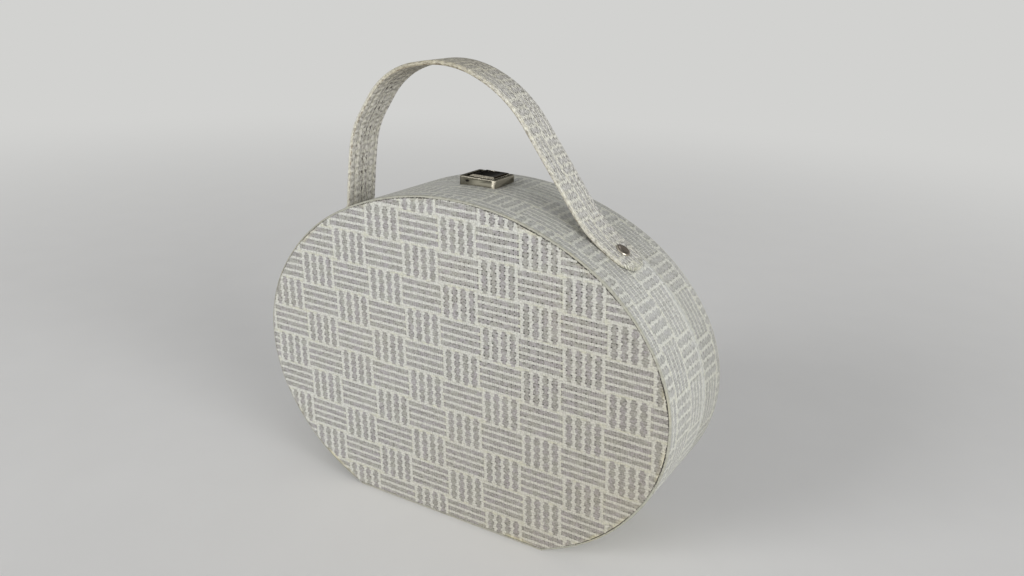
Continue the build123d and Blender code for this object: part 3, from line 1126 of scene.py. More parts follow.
def as_data(mesh: bmesh.types.BMesh, name: str) -> bpy.types.Mesh:
    """Mesh data from a mesh that is then freed.

    Args:
        mesh: mesh, which is freed.
        name: name of the data.
    Returns:
        The data.
    """
    data = bpy.data.meshes.new(name)
    mesh.to_mesh(data)
    mesh.free()
    return data


def as_piece(mesh: bmesh.types.BMesh, name: str, body: str | None, slot: Slot,
             material: bpy.types.Material, smooth: float = 35.0) -> bpy.types.Object:
    """Finished object from a mesh.

    Args:
        mesh: mesh, which is freed.
        name: name of the piece.
        body: body that it rides on, or None where it bends between two.
        slot: not used.
        material: its material.
        smooth: edges that turn by less than this angle in degrees are shaded smoothly.
    Returns:
        The object, at the origin.
    """
    data = as_data(mesh, name)
    data.shade_smooth()
    data.set_sharp_from_angle(angle=math.radians(smooth))
    data.materials.append(material)
    piece = as_object(name, data)
    if body:
        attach(piece, body)
    log.info("%s: %d faces, rides on %s", name, len(data.polygons), body or "two bodies")
    return piece


def thicken(piece: bpy.types.Object, thickness: float) -> None:
    """Gives a sheet its thickness, on the side that its faces turn away from.

    Args:
        piece: the sheet.
        thickness: thickness in millimetres.
    """
    wall = piece.modifiers.new("thickness", "SOLIDIFY")
    wall.thickness = thickness * MM
    wall.offset = -1


def dress(nodes: Nodes, names: Iterable[str], material: bpy.types.Material) -> None:
    """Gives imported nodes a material.

    Args:
        nodes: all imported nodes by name.
        names: names of those that are dressed.
        material: their material.
    """
    for name in names:
        data = nodes[name].data
        data.materials.clear()
        data.materials.append(material)
        log.info("%s: dressed in %s", name, material.name)


# The case's outline


@dataclass(frozen=True)
class Arc:
    """One arc of the outline in the XZ plane, in millimetres, run from a start angle to a stop angle."""

    centre_x: float
    centre_z: float
    radius: float
    start: float
    stop: float

    def turn(self) -> float:
        """Angle that the arc turns through, in radians."""
        return math.radians(self.start - self.stop)


@dataclass(frozen=True)
class Outline:
    """Oval of tangent arcs, cut flat where it stands, in millimetres."""

    width: float = 286.0
    oval_height: float = 221.0
    centre_height: float = 97.0
    end_angle: float = 30.0
    crown_angle: float = 62.0
    foot: float = 0.5
    foot_steps: int = 12

    def top(self) -> float:
        """Height of the crown."""
        return self.centre_height + self.oval_height / 2

    def right_side(self) -> list[Arc]:
        """Finds the arcs of one side, which meet at tangents.

        Returns:
            Arcs from the crown down the right side to under the foot.
        """
        half_width = self.width / 2
        half_height = self.oval_height / 2
        low = math.radians(self.end_angle)
        high = math.radians(self.crown_angle)
        shoulder = (half_width * half_height) ** 2 / ((half_width**2 + half_height**2) / 2) ** 1.5
        width_left = half_width - shoulder * (math.cos(low) - math.cos(high))
        height_left = half_height - shoulder * (math.sin(high) - math.sin(low))
        divisor = (1 - math.cos(low)) * (1 - math.sin(high)) - math.cos(high) * math.sin(low)
        end = (width_left * (1 - math.sin(high)) - height_left * math.cos(high)) / divisor
        crown = (height_left * (1 - math.cos(low)) - width_left * math.sin(low)) / divisor
        end_x = half_width - end
        shoulder_x = end_x + (end - shoulder) * math.cos(low)
        shoulder_z = (end - shoulder) * math.sin(low)
        crown_z = half_height - crown
        middle = self.centre_height
        return [
            Arc(0.0, middle + crown_z, crown, 90.0, self.crown_angle),
            Arc(shoulder_x, middle + shoulder_z, shoulder, self.crown_angle, self.end_angle),
            Arc(end_x, middle, end, self.end_angle, -self.end_angle),
            Arc(shoulder_x, middle - shoulder_z, shoulder, -self.end_angle, -self.crown_angle),
            Arc(0.0, middle - crown_z, crown, -self.crown_angle, -90.0),
        ]

    def upper_arc(self, x: float) -> Arc:
        """Arc of the upper side at a place.

        Args:
            x: the place, of either sign.
        Returns:
            The arc, which is on the right for both signs.
        """
        for arc in self.right_side()[:3]:
            if abs(x) <= arc.centre_x + arc.radius * math.cos(math.radians(max(arc.stop, 0.0))):
                break
        return arc

    def seat(self, x: float) -> tuple[Vector, Vector, Vector]:
        """Point of the upper side that something is fixed on.

        Args:
            x: its place along the case.
        Returns:
            The point, and the directions along the outline and outwards there.
        """
        arc = self.upper_arc(x)
        lean = math.copysign((abs(x) - arc.centre_x) / arc.radius, x)
        outwards = Vector((lean, 0, math.sqrt(1 - lean**2)))
        z = arc.centre_z + math.sqrt(arc.radius**2 - (abs(x) - arc.centre_x) ** 2)
        return Vector((x, 0, z)), Vector((outwards.z, 0, -outwards.x)), outwards

    def foot_corner(self) -> Vector:
        """Finds where the lowest arc meets the foot.

        Returns:
            The corner on the right side.
        """
        arc = self.right_side()[-1]
        drop = arc.centre_z - self.foot
        return Vector((math.sqrt(arc.radius**2 - drop**2), 0, self.foot))

    def sweep(self, mesh: bmesh.types.BMesh, step: float) -> None:
        """Drags the outline in the mesh round the case from the top of its middle, and mirrors it.

        Args:
            mesh: mesh with an outline in the plane x = 0, at the crown.
            step: length of a step in millimetres.
        """
        rail = Rail(mesh)
        for arc in self.right_side():
            steps = max(1, round(arc.radius * arc.turn() / step))
            centre = Vector((arc.centre_x, 0, arc.centre_z)) * MM
            rail.bend(centre, arc.turn(), arc.radius * MM, steps)
        self.cut_foot(mesh, rail)
        rail.run(Vector((-self.foot_corner().x * MM, 0, 0)), self.foot_steps)
        for vert in rail.points():
            vert.co.x = 0.0
        made = bmesh.ops.mirror(mesh, geom=everything(mesh), axis="X", merge_dist=FINE_MERGE)
        for item in made["geom"]:
            if isinstance(item, bmesh.types.BMVert) and item.co.x < -CUT_DISTANCE:
                item[rail.along] *= -1

    def cut_foot(self, mesh: bmesh.types.BMesh, rail: Rail) -> None:
        """Cuts the swept side at the foot's corner, on the mitre that the foot starts from.

        Args:
            mesh: mesh of the side.
            rail: rail that has come round it, which carries on from the cut.
        """
        corner = self.foot_corner()
        outwards = Vector((corner.x, 0, corner.z - self.right_side()[-1].centre_z)).normalized()
        slope = Vector((outwards.z, 0, -outwards.x))
        mitre = (slope + Vector((-1, 0, 0))).normalized()
        low = [vert for vert in mesh.verts if vert.co.z < self.centre_height / 2 * MM]
        lines = {edge for vert in low for edge in vert.link_edges}
        faces = {face for vert in low for face in vert.link_faces}
        cut = bmesh.ops.bisect_plane(mesh, geom=low + list(lines) + list(faces), dist=CUT_DISTANCE,
                                     plane_co=corner * MM, plane_no=mitre, clear_outer=True)
        rail.outline = [item for item in cut["geom_cut"] if isinstance(item, bmesh.types.BMEdge)]
        points = rail.points()
        rail.distance = sum(vert[rail.along] for vert in points) / len(points)


# Sub-assemblies


@dataclass(frozen=True, kw_only=True)
class Shell:
    """One half of the case: its band's cover and its panel's cover. Sizes are in millimetres.

    Face and mouth are the depths of the panel's outside and of the band's edge at the seam. Pleats
    reach pleat_depth into the band, and there are none below pleat_lowest.
    """

    half: Half
    outline: Outline
    face: float
    mouth: float
    cover: float = 0.45
    wall: float = 2.45
    turn_in: float = 6.2
    margin: float = 1.4
    margin_step: float = 0.6
    fold_round: float = 0.9
    mouth_round: float = 0.5
    panel_round: float = 0.2
    panel_hem: float = 9.0
    panel_rings: tuple[float, ...] = (2.4, 4.0)
    pleat: float = 0.05
    pleat_depth: float = 0.3
    pleat_lowest: float = 2.0
    step: float = 1.6

    def way(self) -> int:
        """One where the mouth is behind the face, and minus one where it is before it."""
        return 1 if self.mouth > self.face else -1

    def reach(self) -> float:
        """Depth of the band."""
        return abs(self.mouth - self.face)

    def make(self, band: bpy.types.Material, panel: bpy.types.Material) -> None:
        """Builds the covers of this half and lets them ride."""
        self.make_band(band)
        self.make_panel(panel)

    def put(self, mesh: bmesh.types.BMesh, corners: Corners) -> None:
        """Outline in the plane x = 0, at the crown, with the lengths that the pattern follows.

        Args:
            mesh: mesh that gets the outline.
            corners: pairs of depth behind the face and distance in from the outline.
        """
        top = self.outline.top()
        verts = trace(mesh, [Vector((0, self.face + self.way() * depth, top - inset)) * MM
                             for depth, inset in corners])
        across = mesh.verts.layers.float["across"]
        edge = mesh.verts.layers.float["edge"]
        for vert, (depth, inset) in zip(verts, corners):
            shown = depth if inset <= self.fold_round else self.cover - inset
            if depth > self.reach() - self.mouth_round:
                shown = depth + inset
            vert[across] = (self.face + self.way() * shown) * MM
            vert[edge] = (abs(inset - self.margin) + max(0.0, depth - self.cover)) * MM

    def rounded(self, depth: float, inset: float, radius: float, start: float, stop: float,
                count: int) -> Corners:
        """Points of a small arc in a section.

        Args:
            depth: depth of its centre.
            inset: distance of its centre in from the outline.
            radius: its radius.
            start: first angle in degrees.
            stop: last angle in degrees.
            count: number of equal parts.
        Returns:
            Its corners, as pairs of depth and inset.
        """
        turns = [math.radians(start + (stop - start) * k / count) for k in range(count + 1)]
        return [(depth + radius * math.cos(turn), inset - radius * math.sin(turn)) for turn in turns]

    def make_band(self, material: bpy.types.Material) -> None:
        """Cover of the band, folded over the rim and into the mouth.

        Args:
            material: its material.
        """
        mesh = new_mesh()
        reach = self.reach()
        fold = self.fold_round
        turn = self.mouth_round
        edges = (self.turn_in, self.margin + self.margin_step, self.margin)
        corners = [(self.cover, inset) for inset in edges]
        corners += self.rounded(self.cover + fold, fold, fold, 180, 90, 5)
        corners += [(reach * share, 0.0) for share in (0.25, 0.5, 0.75)]
        corners += self.rounded(reach - turn, turn, turn, 90, 0, 3)
        corners += [(reach, self.wall)]
        self.put(mesh, corners)
        self.outline.sweep(mesh, self.step)
        self.pucker(mesh)
        bmesh.ops.recalc_face_normals(mesh, faces=mesh.faces[:])
        piece = as_piece(mesh, self.half.value + "_cover", self.half.value, Slot.COVER, material)
        thicken(piece, self.cover)
        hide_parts(self.half.value + "_band_cover")

    def pucker(self, mesh: bmesh.types.BMesh) -> None:
        """Small pleats where the cover is folded over the rim, in waves that don't repeat.

        Args:
            mesh: mesh of the band's cover.
        """
        along = mesh.verts.layers.float["along"]
        for vert in mesh.verts:
            depth = (vert.co.y / MM - self.face) * self.way()
            if depth < self.cover + self.pleat_depth and vert.co.z > self.pleat_lowest * MM:
                s = vert[along] / MM
                wave = math.sin(s * 1.7 + 2.2 * math.sin(s * 0.23)) + 0.6 * math.sin(s * 0.71 + 1.3)
                vert.co.y += self.way() * self.pleat * wave * MM

    def make_panel(self, material: bpy.types.Material) -> None:
        """Cover of the panel, a sheet with a softened edge glued over the fold.

        Args:
            material: its material.
        """
        mesh = new_mesh()
        soft = self.panel_round
        corners = [(self.cover, self.panel_hem), (self.cover, self.margin)]
        corners += self.rounded(soft, self.margin + soft, soft, 90, 180, 3)
        corners += [(0.0, ring) for ring in self.panel_rings + (self.panel_hem,)]
        self.put(mesh, corners)
        self.outline.sweep(mesh, self.step)
        rims = [edge for edge in mesh.edges if edge.is_boundary]
        bmesh.ops.holes_fill(mesh, edges=rims, sides=0)
        bmesh.ops.recalc_face_normals(mesh, faces=mesh.faces[:])
        piece = as_piece(mesh, self.half.value + "_panel", self.half.value, Slot.COVER, material)
        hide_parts(self.half.value + "_panel_cover")


@dataclass(frozen=True)
class Bend:
    """One bend of the strap: the straight run before it, and the bend's centre, radius and signed turn."""

    run: Vector
    centre: Vector
    radius: float
    turn: float


@dataclass(frozen=True)
class Strap:
    """Wrapped strip that is riveted to the band at its two round ends. Sizes are in millimetres.

    Loop holds the corners of its free part, as shares of half the span and of the rise. The two
    lifts are the distances from a rivet to the corner where the strap leaves the band. The slit
    is the seam in its inner side, and fray is the height of the bumps along its edges. Its edges
    that turn by less than shaded_turn, in degrees, are shaded smoothly.
    """

    outline: Outline
    middle_x: float = -5.1
    middle_y: float = -3.5
    width: float = 26.0
    thickness: float = 2.7
    edge_round: float = 1.0
    tip: float = 14.0
    span: float = 191.8
    rise: float = 74.7
    loop: tuple[tuple[float, float], ...] = (
        (-0.913, 0.039), (-0.880, 0.350), (-0.622, 0.867), (-0.125, 0.992), (0.276, 0.767))
    lift_left: float = 9.2
    lift_right: float = 20.1
    bend_share: float = 0.48
    head: float = 9.0
    clear: float = 0.3
    slit_place: float = -1.9
    slit_depth: float = 0.42
    slit_width: float = 0.5
    slit_lip: float = 1.6
    slit_lip_depth: float = 0.05
    step: float = 0.8
    end_steps: int = 28
    fray: float = 0.16
    fray_width: float = 1.0
    fray_fade: float = 3.0
    shaded_turn: float = 50.0

    def corners(self) -> list[Vector]:
        """Finds the corners of the middle line.

        Returns:
            The corners, from the strap's left end over the top.
        """
        half = self.span / 2
        left, left_way, left_out = self.outline.seat(self.middle_x - half)
        right, right_way, right_out = self.outline.seat(self.middle_x + half)
        lift = self.thickness / 2
        points = [left - left_way * self.tip + left_out * lift]
        points.append(left + left_way * self.lift_left + left_out * lift)
        for share, up in self.loop:
            points.append(Vector((self.middle_x + share * half, 0, self.outline.top() + up * self.rise)))
        points.append(right - right_way * self.lift_right + right_out * lift)
        points.append(right + right_way * self.tip + right_out * lift)
        for point in points:
            point.y = self.middle_y
        return points

    def bends(self) -> tuple[list[Bend], Vector]:
        """Rounds the corners of the middle line, clear of the rivets' heads.

        Returns:
            The bends, each with the straight run before it, and the last run.
        """
        points = self.corners()
        runs = [(after - before).length for before, after in zip(points, points[1:])]
        runs[0] = 2 * (self.lift_left - self.head / 2 - self.clear)
        runs[-1] = 2 * (self.lift_right - self.head / 2 - self.clear)
        made = []
        at = points[0]
        for k in range(1, len(points) - 1):
            before, here, after = points[k - 1 : k + 2]
            way_in = (here - before).normalized()
            way_out = (after - here).normalized()
            turn = math.copysign(way_in.angle(way_out), way_in.cross(way_out).y)
            cut = self.bend_share * min(runs[k - 1], runs[k])
            radius = cut / math.tan(abs(turn) / 2)
            start = here - way_in * cut
            side = Vector((way_in.z, 0, -way_in.x)) * math.copysign(1, turn)
            made.append(Bend(start - at, start + side * radius, radius, turn))
            at = here + way_out * cut
        return made, points[-1] - at

    def section(self, mesh: bmesh.types.BMesh, at: Vector, out: Vector) -> None:
        """Closed outline of the strap across its length, with the seam's slit in its inner side.

        Args:
            mesh: empty mesh that gets the outline.
            at: point of the middle line.
            out: direction of the strap's outer face.
        """
        half = self.width / 2
        thick = self.thickness / 2
        slit = self.slit_place
        gap = self.slit_width / 2
        lip = -thick + self.slit_lip_depth
        deep = -thick + self.slit_depth
        corners = [(-half, thick), (0.0, thick), (half, thick), (half, -thick)]
        corners += [(slit + self.slit_lip, -thick), (slit + gap, lip), (slit + gap * 0.5, deep)]
        corners += [(slit - gap * 0.5, deep), (slit - gap, lip), (slit - self.slit_lip, -thick)]
        corners += [(-half, -thick)]
        verts = trace(mesh, [(at + DEPTHWISE * w + out * t) * MM for w, t in corners], True)
        outer = [verts[0], verts[2], verts[3], verts[-1]]
        bmesh.ops.bevel(mesh, geom=outer, offset=self.edge_round * MM, offset_type="OFFSET", segments=4,
                        profile=0.5, affect="VERTICES", material=-1)

    def wrap_length(self, w: float, t: float) -> float:
        """Distance round the section from the middle of the outer face.

        Args:
            w: place of a point across the strap.
            t: its height over the middle of the thickness.
        Returns:
            The distance, negative round the front edge.
        """
        half = self.width / 2
        if t > self.thickness / 2 - HAIR:
            return w
        if t < -self.thickness / 2 + self.slit_depth + HAIR and abs(w) < half - self.edge_round / 2:
            inner_side = -1 if w < self.slit_place else 1
            return inner_side * (half + self.thickness + half) - w
        return math.copysign(1, w) * (half + self.thickness / 2 - t)

    def drag(self, rail: Rail, shift: Vector) -> None:
        """Drags the strap's section straight by a shift in millimetres."""
        rail.run(shift * MM, max(1, round(shift.length / self.step)))

    def make(self) -> None:
        """Builds the strap and lets it ride."""
        mesh = new_mesh()
        half = self.width / 2
        corners = self.corners()
        bends, last_run = self.bends()
        way = bends[0].run.normalized()
        way_end = last_run.normalized()
        out = Vector((-way.z, 0, way.x))
        out_end = Vector((-way_end.z, 0, way_end.x))
        start = corners[0] + way * half
        self.section(mesh, start, out)
        across = mesh.verts.layers.float["across"]
        for vert in mesh.verts:
            from_middle = vert.co / MM - start
            vert[across] = self.wrap_length(from_middle.y, from_middle.dot(out)) * MM
        first = list(mesh.verts)
        rail = Rail(mesh, half * MM)
        runs = [bends[0].run - way * half] + [bend.run for bend in bends[1:]]
        for bend, run in zip(bends, runs):
            self.drag(rail, run)
            steps = max(4, round(bend.radius * abs(bend.turn) / self.step))
            rail.bend(bend.centre * MM, bend.turn, bend.radius * MM, steps)
        self.drag(rail, last_run - way_end * half)
        last = rail.points()
        self.round_end(mesh, first, start, way, out, -1, rail)
        self.round_end(mesh, last, corners[-1] - way_end * half, way_end, out_end, 1, rail)
        bmesh.ops.remove_doubles(mesh, verts=mesh.verts[:], dist=MERGE)
        length = rail.distance / MM + half
        self.roughen(mesh, length)
        bmesh.ops.recalc_face_normals(mesh, faces=mesh.faces[:])
        finish = StrapFinish(half_width=half, thickness=self.thickness, length=length, seam=self.slit_place)
        log.info("strap: %.1f mm long", length)
        piece = as_piece(mesh, "strap", Half.BODY.value, Slot.COVER, finish.make(), self.shaded_turn)
        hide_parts("strap_core", "strap_cover")

    def roughen(self, mesh: bmesh.types.BMesh, length: float) -> None:
        """Small bumps along both edges, where the cover's threads are folded round the core.

        Args:
            mesh: mesh of the strap.
            length: its length.
        """
        along = mesh.verts.layers.float["along"]
        half = self.width / 2
        for vert in mesh.verts:
            w = vert.co.y / MM - self.middle_y
            s = vert[along] / MM
            near_edge = min(1.0, max(0.0, abs(w) - half + self.fray_width))
            off_end = min(1.0, max(0.0, min(s, length - s) - half) / self.fray_fade)
            wave = math.sin(s * 2.17 + 1.1 * math.sin(s * 0.31) + w) + 0.5 * math.sin(s * 3.3 - w)
            vert.co.y += math.copysign(self.fray * near_edge * off_end * wave, w) * MM

    def round_end(self, mesh: bmesh.types.BMesh, ring: list, centre: Vector, way: Vector, out: Vector,
                  end: int, rail: Rail) -> None:
        """Half-round end of the strap, spun from half of its last section.

        Args:
            mesh: mesh of the strap.
            ring: vertices of its last section.
            centre: middle of that section.
            way: direction along the strap there.
            out: direction of its outer face there.
            end: minus one at the first end, one at the last.
            rail: rail that holds the distance there.
        """
        base = ring[0][rail.along] / MM
        half = self.width / 2
        thick = self.thickness / 2
        points = [vert.co / MM - centre for vert in ring]
        past_slit = self.slit_place + self.slit_lip - 0.1
        outer = sorted((point.y, point.dot(out)) for point in points if point.y > past_slit)
        top = [(0.0, thick)] + [(w, t) for w, t in outer if t > 0 and w > 100 * HAIR]
        low = [(w, t) for w, t in outer[::-1] if t < 0] + [(0.0, -thick)]
        edge_line = trace(mesh, [(centre + DEPTHWISE * w + out * t) * MM for w, t in top + low])
        lines = list({edge for vert in edge_line for edge in vert.link_edges})
        spin(mesh, lines + edge_line, centre * MM, out, math.pi * -end, self.end_steps)
        across = mesh.verts.layers.float["across"]
        first_ring = set(ring)
        for vert in [vert for vert in mesh.verts if vert not in first_ring]:
            point = vert.co / MM - centre
            ahead = point.dot(way) * end
            if ahead < -10 * HAIR or point.length > half + self.thickness:
                continue
            flat = Vector((ahead, point.y))
            reach = self.wrap_length(flat.length, point.dot(out))
            if flat.length > HAIR:
                flat = flat.normalized() * reach
            vert[rail.along] = (base + end * flat.x) * MM
            vert[across] = flat.y * MM


@dataclass(frozen=True)
class Rivets:
    """The two strap rivets, with dished heads and clinched ends. Sizes are in millimetres.

    Depth is the thickness of what they go through under the strap, and washer that of the washer.
    A head's outer flank, from highlight_low over the strap to highlight_high under the crest, gets a painted
    highlight.
    """

    strap: Strap
    head: float = 9.0
    head_height: float = 1.1
    dish_height: float = 0.3
    shank: float = 4.0
    clinch: float = 6.8
    clinch_height: float = 0.8
    depth: float = 2.7
    washer: float = 0.8
    washer_radius: float = 6.0
    highlight_low: float = 0.1
    highlight_high: float = 0.2
    highlight_width: float = 0.4
    steps: int = 56

    def profile(self, inside: float) -> Corners:
        """Half section of a rivet.

        Args:
            inside: height of the washer's inner face.
        Returns:
            Pairs of radius and height, from the middle of the dish to that of the clinched end.
        """
        top = self.strap.thickness
        crest = top + self.head_height
        hollow = top + self.dish_height
        rim = self.head / 2
        shank = self.shank / 2
        end = inside - self.clinch_height
        dish = [(0, hollow), (1.2, hollow + 0.03), (2.0, hollow + 0.14), (2.6, hollow + 0.42)]
        rolled = [(3.1, crest - 0.06), (3.55, crest), (3.98, crest - 0.1), (4.34, crest - 0.4)]
        under = [(rim, top + 0.35), (rim - 0.1, top + 0.02), (shank, top), (shank, inside)]
        clinched = [(self.clinch / 2, inside), (3.3, inside - 0.4), (2.8, end + 0.08), (2.2, end)]
        return dish + rolled + under + clinched + [(1.2, end + 0.15), (0, end + 0.2)]

    def turned(self, inside: float) -> bmesh.types.BMesh:
        """One rivet that stands on the origin, with its head's flank marked for a painted highlight.

        Args:
            inside: height of the washer's inner face.
        Returns:
            Its mesh.
        """
        single = bmesh.new()
        rubbed = single.verts.layers.float.new("edge")
        top = self.strap.thickness
        crest = top + self.head_height
        verts = trace(single, [Vector((radius, 0, height)) * MM for radius, height in self.profile(inside)])
        # Painted highlight: the outer flank of the head is marked to be brightened.
        for vert in verts:
            flank = (top + self.highlight_low) * MM < vert.co.z < (crest - self.highlight_high) * MM
            outermost = vert.co.x > (self.head / 2 - self.highlight_width) * MM
            vert[rubbed] = 1.0 if flank and outermost else 0.0
        spin(single, single.edges[:] + verts, Vector(), Vector((0, 0, 1)), 2 * math.pi, self.steps, True)
        bmesh.ops.remove_doubles(single, verts=single.verts[:], dist=FINE_MERGE)
        bmesh.ops.recalc_face_normals(single, faces=single.faces[:])
        return single

    def make(self, material: bpy.types.Material) -> None:
        """Sets both rivets in the strap's ends and lets them ride.

        Args:
            material: their material.
        """
        outline = self.strap.outline
        mesh = new_mesh()
        for way in (-1, 1):
            at, along, out = outline.seat(self.strap.middle_x + way * self.strap.span / 2)
            at.y = self.strap.middle_y
            sag = self.washer_radius**2 / (2 * outline.upper_arc(at.x).radius)
            single = self.turned(-(self.depth + sag + self.washer))
            turn = Matrix((along, out.cross(along), out)).transposed().to_4x4()
            single.transform(Matrix.Translation(at * MM) @ turn)
            held = as_data(single, "one rivet")
            mesh.from_mesh(held)
            bpy.data.meshes.remove(held)
        piece = as_piece(mesh, "strap_rivet_pair", Half.BODY.value, Slot.NICKEL, material)
        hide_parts("strap_rivets")


@dataclass(frozen=True, kw_only=True)
class SoftEdged:
    """A packed metal node copied with its edges softened. Sizes are in millimetres.

    Offset is the width of the softening, which the edges within shown of the top get. The mesh says how
    brightly the plating is painted at each point: one on the softened edges, partly rubbed plating and
    partly painted highlight; one on the front right corner, a painted highlight as wide as corner;
    front_slope_highlight on the slopes that face forwards, a painted reflection of the light in front; and
    side on the right side, painted light.
    """

    nodes: Nodes
    node: str
    body: str
    offset: float
    shown: float
    front_slope_highlight: float
    corner: float = 0.0
    corner_highlight_fade: float = 1.6
    side: float = 0.0
    flat_angle: float = 1.0
    sharp_angle: float = 20.0
    slope_up: float = 0.5
    slope_front: float = 0.4
    side_facing: float = 0.95
    side_depth: float = 0.1

    def copied(self) -> bmesh.types.BMesh:
        """Copies the node's mesh and joins its faces.

        Returns:
            The copy, which says at its points how much they are brightened.
        """
        mesh = bmesh.new()
        mesh.from_mesh(self.nodes[self.node].data)
        mesh.verts.layers.float.new("edge")
        bmesh.ops.remove_doubles(mesh, verts=mesh.verts[:], dist=MERGE)
        bmesh.ops.dissolve_limit(mesh, angle_limit=math.radians(self.flat_angle), verts=mesh.verts[:],
                                 edges=mesh.edges[:])
        return mesh

    def soften(self, mesh: bmesh.types.BMesh) -> dict[str, list]:
        """Bevels the outward edges near the top.

        Args:
            mesh: copy of the node's mesh.
        Returns:
            The vertices and faces that the bevel has made.
        """
        high = max(vert.co.z for vert in mesh.verts) - self.shown * MM
        sharp = [edge for edge in mesh.edges
                 if edge.is_convex and edge.calc_face_angle(0) > math.radians(self.sharp_angle)
                 and min(vert.co.z for vert in edge.verts) > high]
        return bmesh.ops.bevel(mesh, geom=sharp, offset=self.offset * MM, offset_type="OFFSET", segments=2,
                               profile=0.5, affect="EDGES", clamp_overlap=True, material=-1)

    def mark_wear_and_highlights(self, mesh: bmesh.types.BMesh, bent: dict[str, list], right: float, front: float) -> None:
        """Writes how much the points are brightened, by rubbed plating and by painted highlights.

        Args:
            mesh: copy with its edges softened.
            bent: vertices and faces of the softened edges.
            right: the node's greatest x in metres.
            front: the node's least y in metres.
        """
        rubbed = mesh.verts.layers.float["edge"]
        soft = set(bent["faces"])
        for vert in bent["verts"]:
            vert[rubbed] = 1.0 if all(face in soft for face in vert.link_faces) else 0.0
        # Painted highlight on the front right corner.
        for vert in mesh.verts:
            if vert.co.x > right - self.corner * MM and vert.co.y < front + self.corner * 0.5 * MM:
                vert[rubbed] = 1.0
        # Painted reflection on the forward slopes, and painted light on the right side.
        for face in mesh.faces:
            if face not in soft and face.normal.z > self.slope_up and face.normal.y < -self.slope_front:
                for vert in face.verts:
                    vert[rubbed] = self.front_slope_highlight
            outermost = face.calc_center_median().x > right - self.side_depth * MM
            if self.side and face.normal.x > self.side_facing and outermost:
                for vert in face.verts:
                    vert[rubbed] = max(vert[rubbed], self.side)

    def make(self, material: bpy.types.Material) -> None:
        """Builds the softened copy, cut where its painted corner highlight fades, and lets it ride.

        Args:
            material: its material.
        """
        mesh = self.copied()
        right = max(vert.co.x for vert in mesh.verts)
        front = min(vert.co.y for vert in mesh.verts)
        if self.corner:
            fade = (right - (self.corner + self.corner_highlight_fade) * MM, 0, 0)
            bmesh.ops.bisect_plane(mesh, geom=everything(mesh), dist=CUT_DISTANCE, plane_co=fade,
                                   plane_no=(1, 0, 0))
        bent = self.soften(mesh)
        self.mark_wear_and_highlights(mesh, bent, right, front)
        piece = as_piece(mesh, self.node + "_soft", self.body, Slot.NICKEL, material)
        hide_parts(self.node)


@dataclass(frozen=True)
class HingeCloth:
    """Cloth strip under the foot that joins the two halves. Sizes are in millimetres.

    Rows are the depths of its rows of points, close together at the seam, where it bends.
    """

    outline: Outline
    rows: tuple[float, ...] = (
        -39.3, -20.0, 0.0, 9.5, 10.3, 10.8, 11.2, 11.5, 11.8, 12.2, 12.7, 13.5, 25.0, 39.3)
    columns: int = 24
    seam: float = 11.5
    thickness: float = 0.5

    def make(self, material: bpy.types.Material) -> None:
        """Builds the strip and lets it bend at the seam.

        Args:
            material: its material.
        """
        mesh = new_mesh()
        half = self.outline.foot_corner().x
        trace(mesh, [Vector((-half, y, 0)) * MM for y in self.rows])
        rail = Rail(mesh)
        rail.run(Vector((2 * half, 0, 0)) * MM, self.columns)
        bmesh.ops.recalc_face_normals(mesh, faces=mesh.faces[:])
        if mesh.faces[0].normal.z > 0:
            bmesh.ops.reverse_faces(mesh, faces=mesh.faces[:])
        piece = as_piece(mesh, "foot_cloth", None, Slot.COVER, material)
        thicken(piece, self.thickness)
        seam = self.seam
        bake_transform(piece, "body", "lid", start=(0, (seam - 1) * MM, 0), end=(0, (seam + 1) * MM, 0))
        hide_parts("body_hinge_cloth", "lid_hinge_cloth")


@dataclass(frozen=True)
class Lamp:
    """Soft round lamp that faces the case. Its sizes are in metres and its power in watts."""

    name: str
    at: Place
    size: float
    power: float
    aim_height: float = 0.11

    def make(self) -> None:
        """Hangs the lamp and turns it to the case."""
        light = bpy.data.lights.new(self.name, "AREA")
        light.shape = "DISK"
        light.size = self.size
        light.energy = self.power
        lamp = as_object(self.name, light)
        lamp.location = self.at
        aim = Vector((0, 0, self.aim_height)) - Vector(self.at)
        lamp.rotation_euler = aim.to_track_quat("-Z", "Y").to_euler()


